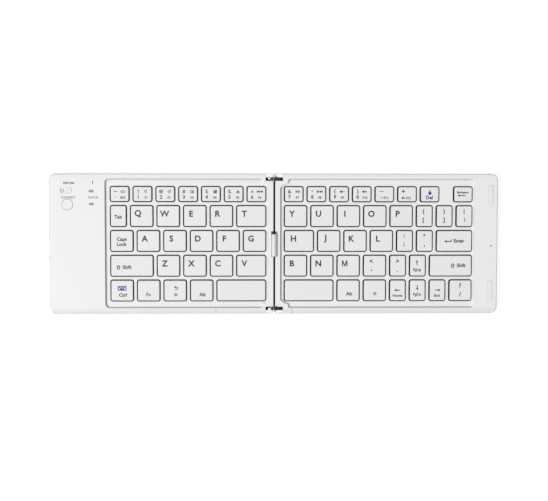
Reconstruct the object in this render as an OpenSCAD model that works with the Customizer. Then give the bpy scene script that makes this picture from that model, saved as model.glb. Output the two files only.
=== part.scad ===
// Two-part folding keyboard, laid open and flat on its feet.
// X runs along the width, Y from the front edge to the rear one, Z up. The origin is on the table
// under the fold line. Lengths are millimetres. Each half is drawn on the +X side of the fold,
// and the left one is mirrored. Case and caps are built from sections, with true round edges.

/* [Case] */
// Width of one half, from the fold line to its outer end
half_w = 152.5; // [151:0.5:165]
// Depth of the case, front to rear
case_d = 95.4; // [94:0.2:104]
// Radius of the outer corners seen from above
corner_r = 4.5; // [3.5:0.1:8]
// Rounding of the upper and lower outer edges
edge_r = 1; // [0.3:0.1:1.2]
// Gap between the two halves at the fold line
fold_gap = 1.3; // [0.6:0.1:1.6]
// Height of the base, from its underside to the parting line
base_h = 2.8; // [2.4:0.1:5]
// Height of the cover, from the parting line to the rim
cover_h = 3.8; // [3.4:0.1:6]
// Thickness of the base floor
floor_t = 1; // [0.8:0.1:1.6]
// Thickness of the side walls
wall = 1.4; // [1:0.1:2]
// Thickness of the cover above its hollow
skin = 1.2; // [0.8:0.1:1.6]
// Thickness of the lip on the base that stands inside the cover
lip_t = 0.8; // [0.6:0.1:1]
// Height of that lip above the parting line
lip_h = 0.8; // [0.4:0.1:1]
// Gap between the lip and the cover
lip_gap = 0.1; // [0.05:0.01:0.2]

/* [Key field] */
// Depth of the recessed key field below the rim
recess_deep = 1.6; // [1:0.1:2]
// Width of the sloped border of the recess
recess_slope = 0.8; // [0.2:0.1:1]
// Radius of the corners of the recess
recess_r = 3; // [1:0.1:4]
// Thickness of the key field between the windows
panel_t = 1; // [0.6:0.1:1.2]
// Distance from the fold line to the first key windows of the left half
left_margin = 5.3; // [5:0.1:6.4]
// Distance from the fold line to the first key windows of the right half
right_margin = 6.4; // [5:0.1:6.8]
// Distance from the rear edge to the number row windows
rear_margin = 8.3; // [8:0.1:9]
// Distance from the fold line to the recess
recess_x = 4; // [3.8:0.1:4.1]
// Recessed border beside the outermost key windows of the left half
left_side = 3.3; // [1.2:0.1:3.6]
// Recessed border beside the outermost key windows of the right half
right_side = 1.3; // [1.2:0.1:2.2]
// Recessed border behind the number row windows
recess_rear = 4.9; // [3:0.1:5.2]
// Recessed border in front of the space key windows
recess_front = 4.4; // [3:0.1:4.7]

/* [Keys] */
// Distance between letter keys along a row
key_pitch = 18; // [17:0.1:18.2]
// Distance between the letter rows
row_pitch = 16.9; // [16:0.1:17.1]
// Width of the rib between two key windows
rib = 1.8; // [1.6:0.1:2.8]
// Depth of a number row window
number_d = 11.1; // [10:0.1:11.4]
// Pitch of the narrow symbol and arrow keys
narrow_pitch = 13.6; // [13:0.1:13.8]
// Pitch taken by the tab key
tab_pitch = 13.5; // [13:0.1:16]
// Pitch taken by the left shift key
shift_pitch = 31.5; // [26:0.1:34]
// Pitch taken by the H key beside the fold
h_pitch = 22.6; // [18:0.1:24]
// Corner radius of a key window
window_r = 1.75; // [1.2:0.05:2.4]
// Gap between a cap and its window
cap_gap = 0.75; // [0.4:0.05:0.9]
// Height of a cap above the key field
cap_rise = 1.2; // [0.8:0.1:1.5]
// Rounding of the upper edges of a cap
cap_edge_r = 0.45; // [0.2:0.05:0.6]
// Thickness of a cap
cap_skin = 1; // [0.8:0.1:1.2]
// Depth of a cap's skirt below the top of the key field
cap_skirt = 1.2; // [1:0.1:1.4]
// Travel of a key
key_travel = 1.2; // [0.8:0.1:1.3]

/* [Key supports] */
// Thickness of the steel key plate
plate_t = 0.4; // [0.3:0.05:0.6]
// Thickness of the membrane circuit
membrane_t = 0.3; // [0.2:0.05:0.4]
// Radius of a rubber dome at its foot
dome_r = 2.3; // [2:0.1:2.5]
// Radius of the plunger on top of a dome
dome_top_r = 1.35; // [1.2:0.05:1.5]
// Width and height of the ring that a dome stands on
dome_ring = 0.45; // [0.3:0.05:0.5]
// Gap left between a cap at rest and its dome or scissor
support_gap = 0.1; // [0.05:0.05:0.25]
// Width of a scissor bar
bar_w = 0.6; // [0.5:0.05:0.7]
// Depth of a scissor bar
bar_h = 0.5; // [0.4:0.05:0.6]
// Longest scissor that is fitted
scissor_len = 9; // [8:0.1:9.6]
// Widest scissor that is fitted
scissor_w = 8; // [7:0.1:9]
// Gap between the two frames of a scissor, to each side
scissor_gap = 0.05; // [0.03:0.01:0.1]

/* [Hinge] */
// Height of the fold axis above the rim
axis_rise = 0.3; // [0.25:0.05:0.6]
// Radius of the hinge knuckles
knuckle_r = 1.8; // [1.6:0.1:1.9]
// Radius of the hinge pins
pin_r = 0.7; // [0.6:0.05:0.8]
// Gap round a hinge pin
pin_gap = 0.05; // [0.03:0.01:0.08]
// How far a pin stands out of its knuckles
pin_proud = 0.9; // [0.5:0.1:1.2]
// Half width of a hinge notch
notch_x = 5.9; // [5.8:0.1:6]
// Depth of a hinge notch, from the front or rear edge
notch_y = 4.9; // [4.7:0.1:5.2]
// Depth of the base block that closes a notch from outside
block_y = 2.5; // [2.3:0.1:2.6]
// Thickness of the flat part of a hinge leaf
leaf_t = 1; // [0.8:0.1:1.2]
// Gap between hinge pieces that pass each other
hinge_gap = 0.1; // [0.08:0.01:0.15]
// Radius of the barrel in the middle of the fold line
barrel_r = 1.75; // [1.6:0.05:1.85]
// Radius of the bore for the lead through the barrel
barrel_bore_r = 1.2; // [0.8:0.1:1.4]
// Length of the barrel
barrel_len = 15; // [10:0.5:16]
// Gap between the barrel and its notch
barrel_gap = 0.25; // [0.2:0.05:0.4]
// Half width of the notch round the barrel
barrel_notch_x = 2.1; // [2.05:0.05:2.5]
// Half length of the notch round the barrel
barrel_notch_y = 8.7; // [8.2:0.1:10]

/* [Controls] */
// Distance of the power switch from the fold line
switch_x = 140.7; // [138:0.1:142]
// Place of the power switch, front to rear
switch_y = 36.2; // [35:0.1:36.6]
// Length of the switch pocket
pocket_len = 7.8; // [7.2:0.1:9]
// Width of the switch pocket
pocket_w = 4; // [3.6:0.1:4.4]
// Depth of the switch pocket
pocket_deep = 0.7; // [0.4:0.05:0.8]
// Travel of the power switch
switch_travel = 2.8; // [2:0.1:3.2]
// Distance of the connect button from the fold line
button_x = 139.9; // [138:0.1:142]
// Place of the connect button, front to rear
button_y = 26.7; // [25:0.1:27.5]
// Radius of the connect button
button_r = 3.65; // [3:0.05:3.8]
// Travel of the connect button
button_travel = 0.4; // [0.3:0.05:0.5]
// Distance of the lamp windows from the fold line
lamp_x = 123.7; // [122:0.1:126]
// Place of the rear lamp window, front to rear
lamp_y = 35.8; // [35:0.1:36.6]
// Distance between the lamp windows
lamp_pitch = 8.7; // [7:0.1:9]
// Length of a lamp window
lamp_len = 3.4; // [3:0.1:4]
// Width of a lamp window
lamp_w = 1.8; // [1.6:0.1:2.2]
// Gap round the switch, the button and the lamp windows
control_gap = 0.2; // [0.1:0.05:0.25]
// Place of the charging socket in the outer end wall, front to rear
port_y = 13; // [11:0.5:18]
// Width of the charging socket
port_w = 7.5; // [7:0.1:8]
// Height of the charging socket
port_h = 2.6; // [2.2:0.1:2.8]
// Depth of the charging socket
port_len = 5.6; // [5:0.1:6.5]
// Thickness of the control board
board_t = 0.8; // [0.6:0.1:1]
// Thickness of the battery
battery_t = 3; // [2.5:0.1:3.4]
// Width of the battery
battery_w = 29; // [20:0.5:29]

/* [Bumpers, feet and screws] */
// Distance of the bumpers from the fold line
bumper_x = 147.3; // [145:0.1:148]
// Place of the bumpers in front of and behind the middle
bumper_y = 32.5; // [28:0.5:34]
// Length of a bumper
bumper_len = 15; // [10:0.5:18]
// Width of a bumper
bumper_w = 3.3; // [2.8:0.1:4]
// Height of a bumper above the rim
bumper_h = 0.5; // [0.2:0.05:0.5]
// Depth of the pockets that hold the bumpers and the feet
pocket_seat = 0.3; // [0.2:0.05:0.4]
// Height of the feet below the base
foot_h = 0.6; // [0.4:0.1:1.2]
// Distance of the inner feet from the fold line
foot_inner_x = 18.3; // [17:0.1:30]
// Distance of the outer feet from the fold line
foot_outer_x = 130.5; // [110:0.5:136]
// Place of the feet in front of and behind the middle
foot_y = 36.1; // [30:0.1:37]
// Length of a foot
foot_len = 16; // [10:0.5:24]
// Width of a foot
foot_w = 4; // [3:0.1:5]
// Shank radius of the case screws
screw_r = 0.8; // [0.7:0.05:0.9]
// Head radius of the case screws
head_r = 1.5; // [1.3:0.05:1.6]
// Height of a screw head
head_h = 0.45; // [0.3:0.05:0.5]
// Radius of the posts that take the screws
post_r = 1.9; // [1.8:0.05:2.1]
// Distance of the screws from the front and rear edges
screw_inset = 4.6; // [4.5:0.1:4.8]
// Gap round the shank and the head of a screw
screw_gap = 0.2; // [0.1:0.05:0.25]
// Distances of the screws from the fold line, at the hinge, in the middle and at the outer end
screw_hinge_x = 12; // [11.5:0.1:13]
screw_middle_x = 75; // [60:1:90]
screw_end_x = 146.3; // [145:0.1:146.6]

/* [Hidden] */
$fn = 64;

base_z = foot_h;
floor_z = base_z + floor_t;
split_z = base_z + base_h;
rim_z = split_z + cover_h;
panel_z = rim_z - recess_deep;
panel_low_z = panel_z - panel_t;
axis_z = rim_z + axis_rise;

cap_low_z = panel_z - cap_skirt;
cap_top_z = panel_z + cap_rise;
cap_under_z = cap_top_z - cap_skin;
plate_z = floor_z;
membrane_z = plate_z + plate_t;
dome_z = membrane_z + membrane_t;

window_d = row_pitch - rib;
field_w = 6 * key_pitch;
number_pitch = field_w / 7;
left_field_w = field_w;
right_field_w = 5 * key_pitch + 3 * narrow_pitch;
left_end_x = left_margin + left_field_w - rib + left_side;
right_end_x = right_margin + right_field_w - rib + right_side;
field_rear_y = case_d / 2 - rear_margin;
field_front_y = field_rear_y - number_d - 4 * row_pitch;
lip_inset = wall + lip_gap;
room_inset = lip_inset + lip_t;

// Each row runs away from the left end of its half. A key is its name and the pitch it takes,
// where 0 means what the other keys leave over. A gap is a place with no key.
LEFT_ROWS = [
    [for (name = ["escape", "1", "2", "3", "4", "5", "6"]) [name, number_pitch]],
    [["tab", tab_pitch], for (name = ["q", "w", "e", "r"]) [name, key_pitch], ["t", 0]],
    [for (name = ["caps", "a", "s", "d", "f", "g"]) [name, key_pitch]],
    [["shift_l", shift_pitch], for (name = ["z", "x", "c"]) [name, key_pitch], ["v", 0]],
    [for (name = ["ctrl", "fn", "system_l", "alt_l"]) [name, key_pitch], ["space_l", 0]],
];
RIGHT_ROWS = [
    [for (name = ["7", "8", "9", "0", "minus", "plus", "delete"]) [name, number_pitch],
        ["gap", 0], ["backspace", number_pitch]],
    [for (name = ["y", "u", "i", "o", "p"]) [name, key_pitch],
        for (name = ["bracket_l", "bracket_r", "backslash"]) [name, narrow_pitch]],
    [["h", h_pitch], for (name = ["j", "k", "l"]) [name, key_pitch],
        for (name = ["semicolon", "quote"]) [name, narrow_pitch], ["enter", 0]],
    [for (name = ["b", "n", "m", "comma"]) [name, key_pitch],
        for (name = ["period", "up"]) [name, narrow_pitch], ["shift_r", 0]],
    [["space_r", 0], for (name = ["alt_r", "system_r"]) [name, key_pitch],
        for (name = ["left", "down", "right"]) [name, narrow_pitch], ["slash", key_pitch]],
];

function sum(list, count) = count <= 0 ? 0 : list[count - 1] + sum(list, count - 1);
function pitches(row, width) =
    let (asked = [for (key = row) key[1]], spare = width - sum(asked, len(asked)))
    [for (pitch = asked) pitch > 0 ? pitch : spare];
function row_d(row) = row == 0 ? number_d : window_d;
function row_y(row) = row == 0 ? field_rear_y - number_d / 2
    : field_rear_y - number_d - rib - window_d / 2 - (row - 1) * row_pitch;

// Every key of a half as [name, x, y, window width, window depth]
function keys_of(rows, width, start_x) = [
    for (row = [0 : len(rows) - 1])
        let (taken = pitches(rows[row], width))
        for (place = [0 : len(rows[row]) - 1])
            if (rows[row][place][0] != "gap")
                [rows[row][place][0], start_x + sum(taken, place) + (taken[place] - rib) / 2,
                    row_y(row), taken[place] - rib, row_d(row)]
];
LEFT_KEYS = keys_of(LEFT_ROWS, left_field_w, rib - left_margin - left_field_w);
RIGHT_KEYS = keys_of(RIGHT_ROWS, right_field_w, right_margin);
ALL_KEYS = concat(LEFT_KEYS, RIGHT_KEYS);

LEFT_LETTERS = ["q", "w", "e", "r", "t", "a", "s", "d", "f", "g", "z", "x", "c", "v"];
RIGHT_LETTERS = ["y", "u", "i", "o", "p", "h", "j", "k", "l", "b", "n", "m"];
LETTERS = concat(LEFT_LETTERS, RIGHT_LETTERS);
LEFT_NUMBERS = ["escape", "1", "2", "3", "4", "5", "6"];
RIGHT_NUMBERS = ["7", "8", "9", "0", "minus", "plus", "delete", "backspace"];
LEFT_MODIFIERS = ["tab", "caps", "shift_l", "ctrl", "fn", "system_l", "alt_l"];
RIGHT_MODIFIERS = ["enter", "shift_r", "alt_r", "system_r"];
SYMBOLS_AND_ARROWS = ["bracket_l", "bracket_r", "backslash", "semicolon", "quote", "comma",
    "period", "slash", "up", "left", "down", "right"];

SCREW_X = [screw_hinge_x, screw_middle_x, screw_end_x];
screw_y = case_d / 2 - screw_inset;
screw_z = base_z + 0.1;
screw_top_z = panel_z - 0.7;
drive_w = 0.35;
drive_deep = 0.25;
seat_gap = 0.1;
lip_root = 0.5;

slot_y = case_d / 2 - notch_y;
slot_len = notch_y - block_y;
slot_end_y = slot_y + slot_len;
leaf_z = split_z;
leaf_pad_r = 2.2;
knuckle_len = (slot_len - 3 * hinge_gap) / 2;
elbow_x = notch_x - 1.6;
elbow_z = rim_z - 1.2;
guard_t = 1.1;
block_x0 = pin_r + 2 * hinge_gap;

barrel_floor_z = axis_z - barrel_r - barrel_gap;
barrel_front_y = barrel_gap - barrel_notch_y;
barrel_rear_y = barrel_front_y + barrel_len;
lead_w = barrel_notch_y - barrel_rear_y - barrel_gap;

rail_w = 1.2;
rail_h = 0.6;
board_z = floor_z + rail_h;
board_top_z = board_z + board_t;
board_x0 = left_end_x + 1.6;
board_x1 = half_w - room_inset - 0.6;
board_y0 = 3;
board_y1 = screw_y - post_r - 0.6;
// Each chip is its place on the board, counted from its corner, and its size
CHIPS = [[[5, 3, 0], [6, 6, 0.9]], [[14, 4, 0], [3.2, 2.5, 0.8]], [[1, 12, 0], [2.4, 12, 1]]];
battery_gap = 2;
battery_tab = [7, 2.2, 0.8];

stem_len = 1.8;
stem_w = 1.2;
slot_w = stem_w + 2 * control_gap;
skirt_t = 0.4;
knob_len = pocket_len - switch_travel - 2 * control_gap;
knob_rib_w = 0.3;
knob_rib_pitch = 0.8;
switch_body = [8, 3.4, 1.4];
button_proud = 0.1;
button_edge_r = 0.3;
button_flange_w = 0.8;
button_flange_t = 0.6;
button_flange_z = rim_z - skin - control_gap - button_flange_t;
push_switch = [5, 5, 0.8];
plunger_r = 1.1;
plunger_h = 0.35;
lamp_chip = [1.6, 1, 0.6];
lamp_flange_w = 0.4;
lamp_flange_t = 0.65;
lamp_fit = 0.05;
port_sink = 0.3;
port_wall = 0.3;
port_gap = 0.15;
port_r = 0.8;
port_x1 = half_w - port_sink;
port_z = board_top_z + port_h / 2;
tongue_side = 1.6;
tongue_t = 0.6;
mark_x = 148;
mark_y = -1.3;

// A rectangle with round corners
module round_rect(x0, x1, y0, y1, r) {
    translate([x0 + r, y0]) square([x1 - x0 - 2 * r, y1 - y0]);
    translate([x0, y0 + r]) square([x1 - x0, y1 - y0 - 2 * r]);
    for (x = [x0 + r, x1 - r], y = [y0 + r, y1 - r]) translate([x, y]) circle(r);
}

// A bar with round ends, centred on the origin and lying along X
module capsule(length, width, height) {
    linear_extrude(height) {
        translate([width / 2 - length / 2, -width / 2]) square([length - width, width]);
        for (side = [-1, 1]) translate([side * (length - width) / 2, 0]) circle(width / 2);
    }
}

// The section of a solid from u0 to u1, with its upper or lower edges rounded by r
module edge_section(u0, u1, z0, z1, r, both, at_top) {
    flat_u0 = both ? u0 + r : u0;
    low = at_top ? z0 : z0 + r;
    high = at_top ? z1 - r : z1;
    translate([u0, low]) square([u1 - u0, high - low]);
    if (r > 0) {
        translate([flat_u0, z0]) square([u1 - r - flat_u0, z1 - z0]);
        for (u = both ? [u0 + r, u1 - r] : [u1 - r])
            translate([u, at_top ? high : low]) circle(r);
    }
}

// A half of the case, drawn in by inset: square at the fold and round at its outer corners,
// with its upper or lower outer edge rounded by r
module half_solid(z0, z1, inset, r, at_top) {
    x0 = fold_gap / 2 + inset;
    x1 = half_w - inset;
    y1 = case_d / 2 - inset;
    turn = corner_r - inset;
    translate([x0, 0, 0]) rotate([90, 0, 90]) linear_extrude(x1 - turn - x0)
        edge_section(-y1, y1, z0, z1, r, true, at_top);
    translate([0, y1 - turn, 0]) rotate([90, 0, 0]) linear_extrude(2 * (y1 - turn))
        edge_section(x0, x1, z0, z1, r, false, at_top);
    for (side = [-1, 1]) translate([x1 - turn, side * (y1 - turn), 0]) rotate_extrude()
        edge_section(0, turn, z0, z1, r, false, at_top);
}

module at_screws() {
    for (x = SCREW_X, side = [-1, 1]) translate([x, side * screw_y, 0]) children();
}

// Front and rear ends of the hinge, the front one being the mirror image of the rear one
module at_both_ends() {
    children();
    mirror([0, 1, 0]) children();
}

module half_base(with_controls) {
    difference() {
        union() {
            half_solid(base_z, split_z, 0, edge_r, false);
            difference() {
                half_solid(split_z - lip_root, split_z + lip_h, lip_inset, 0, true);
                at_both_ends() translate([0, slot_y - guard_t - lip_gap, 0])
                    cube([notch_x + guard_t + lip_gap, case_d, rim_z]);
            }
            at_both_ends() hinge_block();
        }
        difference() {
            half_solid(floor_z, split_z + lip_h + 1, room_inset, 0, true);
            at_screws() cylinder(h = split_z, r = post_r);
            if (with_controls) board_rails();
        }
        // the lead runs down into the base beside the barrel
        translate([-1, barrel_rear_y, floor_z + lip_h]) cube([room_inset + 2, lead_w, base_h]);
        at_screws() {
            translate([0, 0, base_z - 1]) cylinder(h = base_h + 2, r = screw_r + screw_gap);
            cylinder(h = screw_z + head_h, r = head_r + screw_gap);
        }
        at_feet() capsule(foot_len + 2 * seat_gap, foot_w + 2 * seat_gap, base_z + pocket_seat);
        if (with_controls) port_opening();
    }
}

// The end block closes a hinge notch from outside, a hair clear of the cover
module hinge_block() {
    y1 = case_d / 2;
    translate([block_x0, 0, 0]) rotate([90, 0, 90])
        linear_extrude(notch_x - hinge_gap - block_x0)
            edge_section(y1 - block_y, y1, base_z + edge_r, rim_z - 2 * hinge_gap, edge_r / 2, false,
                true);
}

// Two rails on the floor of the left half carry the control board
module board_rails() {
    for (x = [board_x0, board_x1 - rail_w]) translate([x, board_y0, base_z])
        cube([rail_w, board_y1 - board_y0, board_z - base_z]);
}

// A cover: a skin over the end strip and the key field, posts for the screws, a guard round each
// hinge notch, and one window per key
module half_cover(margin, field_end_x, keys, flip) {
    leaf_room_z = leaf_z + leaf_t + hinge_gap;
    difference() {
        half_solid(split_z, rim_z, 0, edge_r, true);
        difference() {
            union() {
                half_solid(split_z - 1, panel_low_z, wall, 0, true);
                intersection() {
                    half_solid(split_z - 1, rim_z - skin, wall, 0, true);
                    translate([field_end_x + skin, -case_d, split_z - 2])
                        cube([half_w, 2 * case_d, rim_z]);
                }
            }
            at_screws() cylinder(h = rim_z, r = post_r);
            at_both_ends() translate([0, slot_y - guard_t, 0])
                cube([notch_x + guard_t, case_d, rim_z]);
        }
        recess(margin, field_end_x);
        for (key = keys)
            linear_extrude(rim_z)
                translate([flip ? -key[1] : key[1], key[2]])
                    round_rect(-key[3] / 2, key[3] / 2, -key[4] / 2, key[4] / 2, window_r);
        // notches for the hinge leaves, and the passage of a leaf into the case
        at_both_ends() {
            translate([-1, slot_y, 0]) cube([notch_x + 1, case_d, 2 * rim_z]);
            translate([0, slot_y, 0]) cube([screw_hinge_x, slot_len, leaf_room_z]);
            translate([screw_hinge_x, screw_y, 0])
                cylinder(h = leaf_room_z, r = leaf_pad_r + hinge_gap);
        }
        // notch round the barrel, with a well for the lead at one end of it
        translate([-1, -barrel_notch_y, barrel_floor_z])
            cube([1 + barrel_notch_x, 2 * barrel_notch_y, rim_z]);
        translate([-1, barrel_rear_y, 0]) cube([1 + barrel_notch_x, lead_w, rim_z]);
        at_screws() cylinder(h = screw_top_z + seat_gap, r = screw_r + pin_gap);
    }
}

// The recessed key field, with sloped borders, and with pads left standing at the hinge notches
module recess(margin, field_end_x) {
    y0 = field_front_y - recess_front;
    y1 = field_rear_y + recess_rear;
    up = rim_z + 1;
    slope = recess_slope * (up - panel_z) / recess_deep;
    difference() {
        intersection() {
            translate([0, 0, panel_z]) linear_extrude(up)
                round_rect(recess_x, field_end_x, y0, y1, recess_r);
            translate([0, case_d, 0]) rotate([90, 0, 0]) linear_extrude(2 * case_d)
                border_section(recess_x + recess_slope, field_end_x - recess_slope, slope, up);
            rotate([90, 0, 90]) linear_extrude(half_w)
                border_section(y0 + recess_slope, y1 - recess_slope, slope, up);
        }
        linear_extrude(2 * rim_z) notch_pad(margin, field_rear_y);
        mirror([0, 1, 0]) linear_extrude(2 * rim_z) notch_pad(margin, -field_front_y);
    }
}

module border_section(u0, u1, slope, up) {
    polygon([[u0, panel_z], [u1, panel_z], [u1 + slope, up], [u0 - slope, up]]);
}

// The pad runs round the corner of the first key window, from the fold line to the case edge
module notch_pad(margin, field_y) {
    polygon([[0, field_y - 2.2], [recess_x, field_y - 1.2], [margin + 0.4, field_y + 1.1],
        [margin + 2.6, field_y + 1.6], [margin + 4.6, case_d / 2], [0, case_d / 2]]);
}

module key_plate(margin, field_w) {
    translate([0, 0, plate_z]) linear_extrude(plate_t) plate_outline(margin, field_w, 0);
}

module membrane(margin, field_w) {
    translate([0, 0, membrane_z]) linear_extrude(membrane_t) plate_outline(margin, field_w, 0.4);
}

module plate_outline(margin, field_w, inset) {
    round_rect(margin - 1 + inset, margin + field_w - rib + 1 - inset,
        field_front_y - 0.8 + inset, field_rear_y + 0.8 - inset, 1);
}

// A rubber dome: a ring, a thin cone and a plunger with a contact post, hollow inside
module dome() {
    top = cap_under_z - support_gap - dome_z;
    translate([0, 0, dome_z]) rotate_extrude()
        polygon([[dome_r - dome_ring, 0], [dome_r, 0], [dome_r, dome_ring],
            [dome_top_r + 0.15, top * 0.42], [dome_top_r, top], [0, top], [0, top * 0.3],
            [dome_top_r - 0.75, top * 0.3], [dome_top_r - 0.55, top * 0.6],
            [dome_top_r - 0.3, top * 0.4]]);
}

// A scissor support: two frames that cross, hinged to each other at the middle of their bars
module scissor(length, width) {
    rise = cap_under_z - support_gap - dome_z;
    tilt = asin((rise - bar_h) / length);
    translate([0, 0, dome_z + rise / 2]) {
        rotate([0, tilt, 0]) frame(length, width);
        rotate([0, -tilt, 0]) frame(length, width - 2 * bar_w - 2 * scissor_gap);
        rotate([90, 0, 0]) translate([0, 0, -width / 2]) difference() {
            cylinder(h = width, r = bar_h / 2);
            translate([0, 0, 1.5 * bar_w]) cylinder(h = width - 3 * bar_w, r = bar_h);
        }
    }
}

module frame(length, width) {
    difference() {
        cube([length, width, bar_h], center = true);
        cube([length - 2 * bar_w, width - 2 * bar_w, 2 * bar_h], center = true);
    }
}

// The scissor of a key lies along its longer side and fits the hollow of its cap
module scissor_for(key) {
    across = key[3] < key[4];
    hollow = 2 * (cap_gap + cap_skin + 3 * support_gap);
    long_side = max(key[3], key[4]) - hollow;
    short_side = min(key[3], key[4]) - hollow;
    translate([key[1], key[2], 0]) rotate([0, 0, across ? 90 : 0])
        scissor(min(long_side, scissor_len), min(short_side, scissor_w));
}

// A key cap: the outline of its window drawn in by the gap, hollow below
module cap(key) {
    w = key[3] - 2 * cap_gap;
    d = key[4] - 2 * cap_gap;
    turn = window_r - cap_gap;
    translate([key[1], key[2], 0]) difference() {
        union() {
            translate([turn - w / 2, 0, 0]) rotate([90, 0, 90]) linear_extrude(w - 2 * turn)
                edge_section(-d / 2, d / 2, cap_low_z, cap_top_z, cap_edge_r, true, true);
            translate([0, d / 2 - turn, 0]) rotate([90, 0, 0]) linear_extrude(d - 2 * turn)
                edge_section(-w / 2, w / 2, cap_low_z, cap_top_z, cap_edge_r, true, true);
            for (x = [-1, 1], y = [-1, 1])
                translate([x * (w / 2 - turn), y * (d / 2 - turn), 0]) rotate_extrude()
                    edge_section(0, turn, cap_low_z, cap_top_z, cap_edge_r, false, true);
        }
        translate([0, 0, cap_low_z - 1]) linear_extrude(cap_under_z - cap_low_z + 1)
            square([w - 2 * cap_skin, d - 2 * cap_skin], center = true);
    }
}

module caps_named(names) {
    color([0.9, 0.9, 0.91]) for (name = names, key = ALL_KEYS) if (key[0] == name) cap(key);
}

// One leaf of each hinge: a knuckle, an arm that drops into the notch, and a flat pad
module hinge_leaf(knuckle_y) {
    arm_x0 = knuckle_r + 0.3;
    difference() {
        union() {
            translate([0, knuckle_y + knuckle_len, 0]) rotate([90, 0, 0])
                linear_extrude(knuckle_len) {
                    translate([0, axis_z]) circle(knuckle_r);
                    polygon([[0, axis_z - knuckle_r], [knuckle_r, axis_z - 0.4],
                        [elbow_x, elbow_z], [knuckle_r + 1, elbow_z - 1.4]]);
                }
            translate([0, slot_end_y - hinge_gap, 0]) rotate([90, 0, 0])
                linear_extrude(slot_len - 2 * hinge_gap)
                    polygon([[arm_x0, axis_z - 0.75], [elbow_x, elbow_z],
                        [notch_x - 0.4, leaf_z + leaf_t], [notch_x, leaf_z + leaf_t],
                        [notch_x, leaf_z], [notch_x - 1.4, leaf_z], [arm_x0, elbow_z - 1.1]]);
            translate([notch_x - 1, slot_y + hinge_gap, leaf_z])
                cube([screw_hinge_x - notch_x + 1, slot_len - 2 * hinge_gap, leaf_t]);
            translate([screw_hinge_x, screw_y, leaf_z]) cylinder(h = leaf_t, r = leaf_pad_r);
        }
        translate([0, case_d, axis_z]) rotate([90, 0, 0]) cylinder(h = case_d, r = pin_r + pin_gap);
        translate([screw_hinge_x, screw_y, 0]) cylinder(h = rim_z, r = screw_r + screw_gap);
    }
}

module hinge_pins() {
    color([0.25, 0.25, 0.27]) at_both_ends()
        translate([0, slot_end_y + pin_proud - hinge_gap, axis_z]) rotate([90, 0, 0])
            cylinder(h = slot_len + pin_proud - 2 * hinge_gap, r = pin_r);
}

// The barrel stands on a foot on the edge of the left cover
module hinge_barrel() {
    color([0.85, 0.86, 0.87]) difference() {
        union() {
            translate([0, barrel_rear_y, axis_z]) rotate([90, 0, 0])
                cylinder(h = barrel_len, r = barrel_r);
            translate([barrel_gap - barrel_notch_x, barrel_front_y + edge_r, barrel_floor_z])
                cube([barrel_notch_x - barrel_gap - fold_gap / 2, barrel_len - 2 * edge_r, barrel_r]);
        }
        translate([0, case_d, axis_z]) rotate([90, 0, 0]) cylinder(h = 2 * case_d, r = barrel_bore_r);
    }
}

module at_feet() {
    for (x = [foot_inner_x, foot_outer_x], side = [-1, 1])
        translate([x, side * foot_y, 0]) children();
}

module feet() {
    color([0.3, 0.3, 0.3]) at_feet() capsule(foot_len, foot_w, base_z + pocket_seat);
}

module screws() {
    color([0.7, 0.7, 0.72]) at_screws() difference() {
        translate([0, 0, screw_z]) {
            cylinder(h = head_h, r = head_r);
            cylinder(h = screw_top_z - screw_z, r = screw_r);
        }
        for (turn = [0, 90]) rotate([0, 0, turn])
            cube([head_r, drive_w, 2 * (screw_z + drive_deep)], center = true);
    }
}

module at_switch() {
    translate([switch_x, switch_y, 0]) children();
}

// The knob rests at the end of its pocket that lies nearer the fold. A skirt on its stem keeps the
// slot in the cover closed from below at both ends of the travel.
module power_switch() {
    knob_z = rim_z - pocket_deep + seat_gap / 2;
    skirt_z = rim_z - skin - control_gap - skirt_t;
    stem_z = board_top_z + switch_body[2] + seat_gap;
    color([0.93, 0.93, 0.94]) mirror([1, 0, 0]) at_switch() translate([-switch_travel / 2, 0, 0]) {
        translate([0, 0, knob_z]) difference() {
            capsule(knob_len, pocket_w - 2 * control_gap, pocket_deep);
            for (step = [-1 : 1]) translate([step * knob_rib_pitch, 0, pocket_deep])
                cube([knob_rib_w, pocket_w - 7 * control_gap, 2 * control_gap], center = true);
        }
        translate([-stem_len / 2, -stem_w / 2, stem_z]) cube([stem_len, stem_w, knob_z - stem_z + 0.1]);
        translate([0, 0, skirt_z])
            capsule(stem_len + 2 * switch_travel + 4 * control_gap, slot_w + 4 * control_gap, skirt_t);
    }
}

// The button has a flange under the cover and a stem that stops just short of its push switch
module connect_button() {
    stem_z = board_top_z + push_switch[2] + plunger_h + button_travel + seat_gap / 2;
    color([0.93, 0.93, 0.94]) mirror([1, 0, 0]) translate([button_x, button_y, 0]) {
        rotate_extrude() {
            edge_section(0, button_r, button_flange_z, rim_z + button_proud, button_edge_r, false, true);
            translate([0, button_flange_z]) square([button_r + button_flange_w, button_flange_t]);
        }
        translate([0, 0, stem_z]) cylinder(h = button_flange_z - stem_z + 0.1, r = plunger_r);
    }
}

module at_lamps() {
    for (y = [lamp_y, lamp_y - lamp_pitch]) translate([lamp_x, y, 0]) children();
}

// A light pipe: the window in the cover, a flange under the cover, and a leg down to its lamp
module lamp_windows() {
    flange_z = rim_z - skin - lamp_fit - lamp_flange_t;
    leg_z = board_top_z + lamp_chip[2] + 2 * seat_gap;
    color([0.82, 0.85, 0.88]) mirror([1, 0, 0]) at_lamps() {
        translate([0, 0, flange_z])
            capsule(lamp_len - 2 * lamp_fit, lamp_w - 2 * lamp_fit, rim_z - flange_z);
        translate([0, 0, flange_z])
            capsule(lamp_len + 2 * lamp_flange_w, lamp_w + 2 * lamp_flange_w, lamp_flange_t);
        translate([0, 0, leg_z])
            capsule(lamp_len - lamp_flange_w, lamp_w - lamp_flange_w, flange_z - leg_z + 0.1);
    }
}

// A block that stands on the board, centred on the place given
module chip(size) {
    translate([-size[0] / 2, -size[1] / 2, 0]) cube(size);
}

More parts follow.
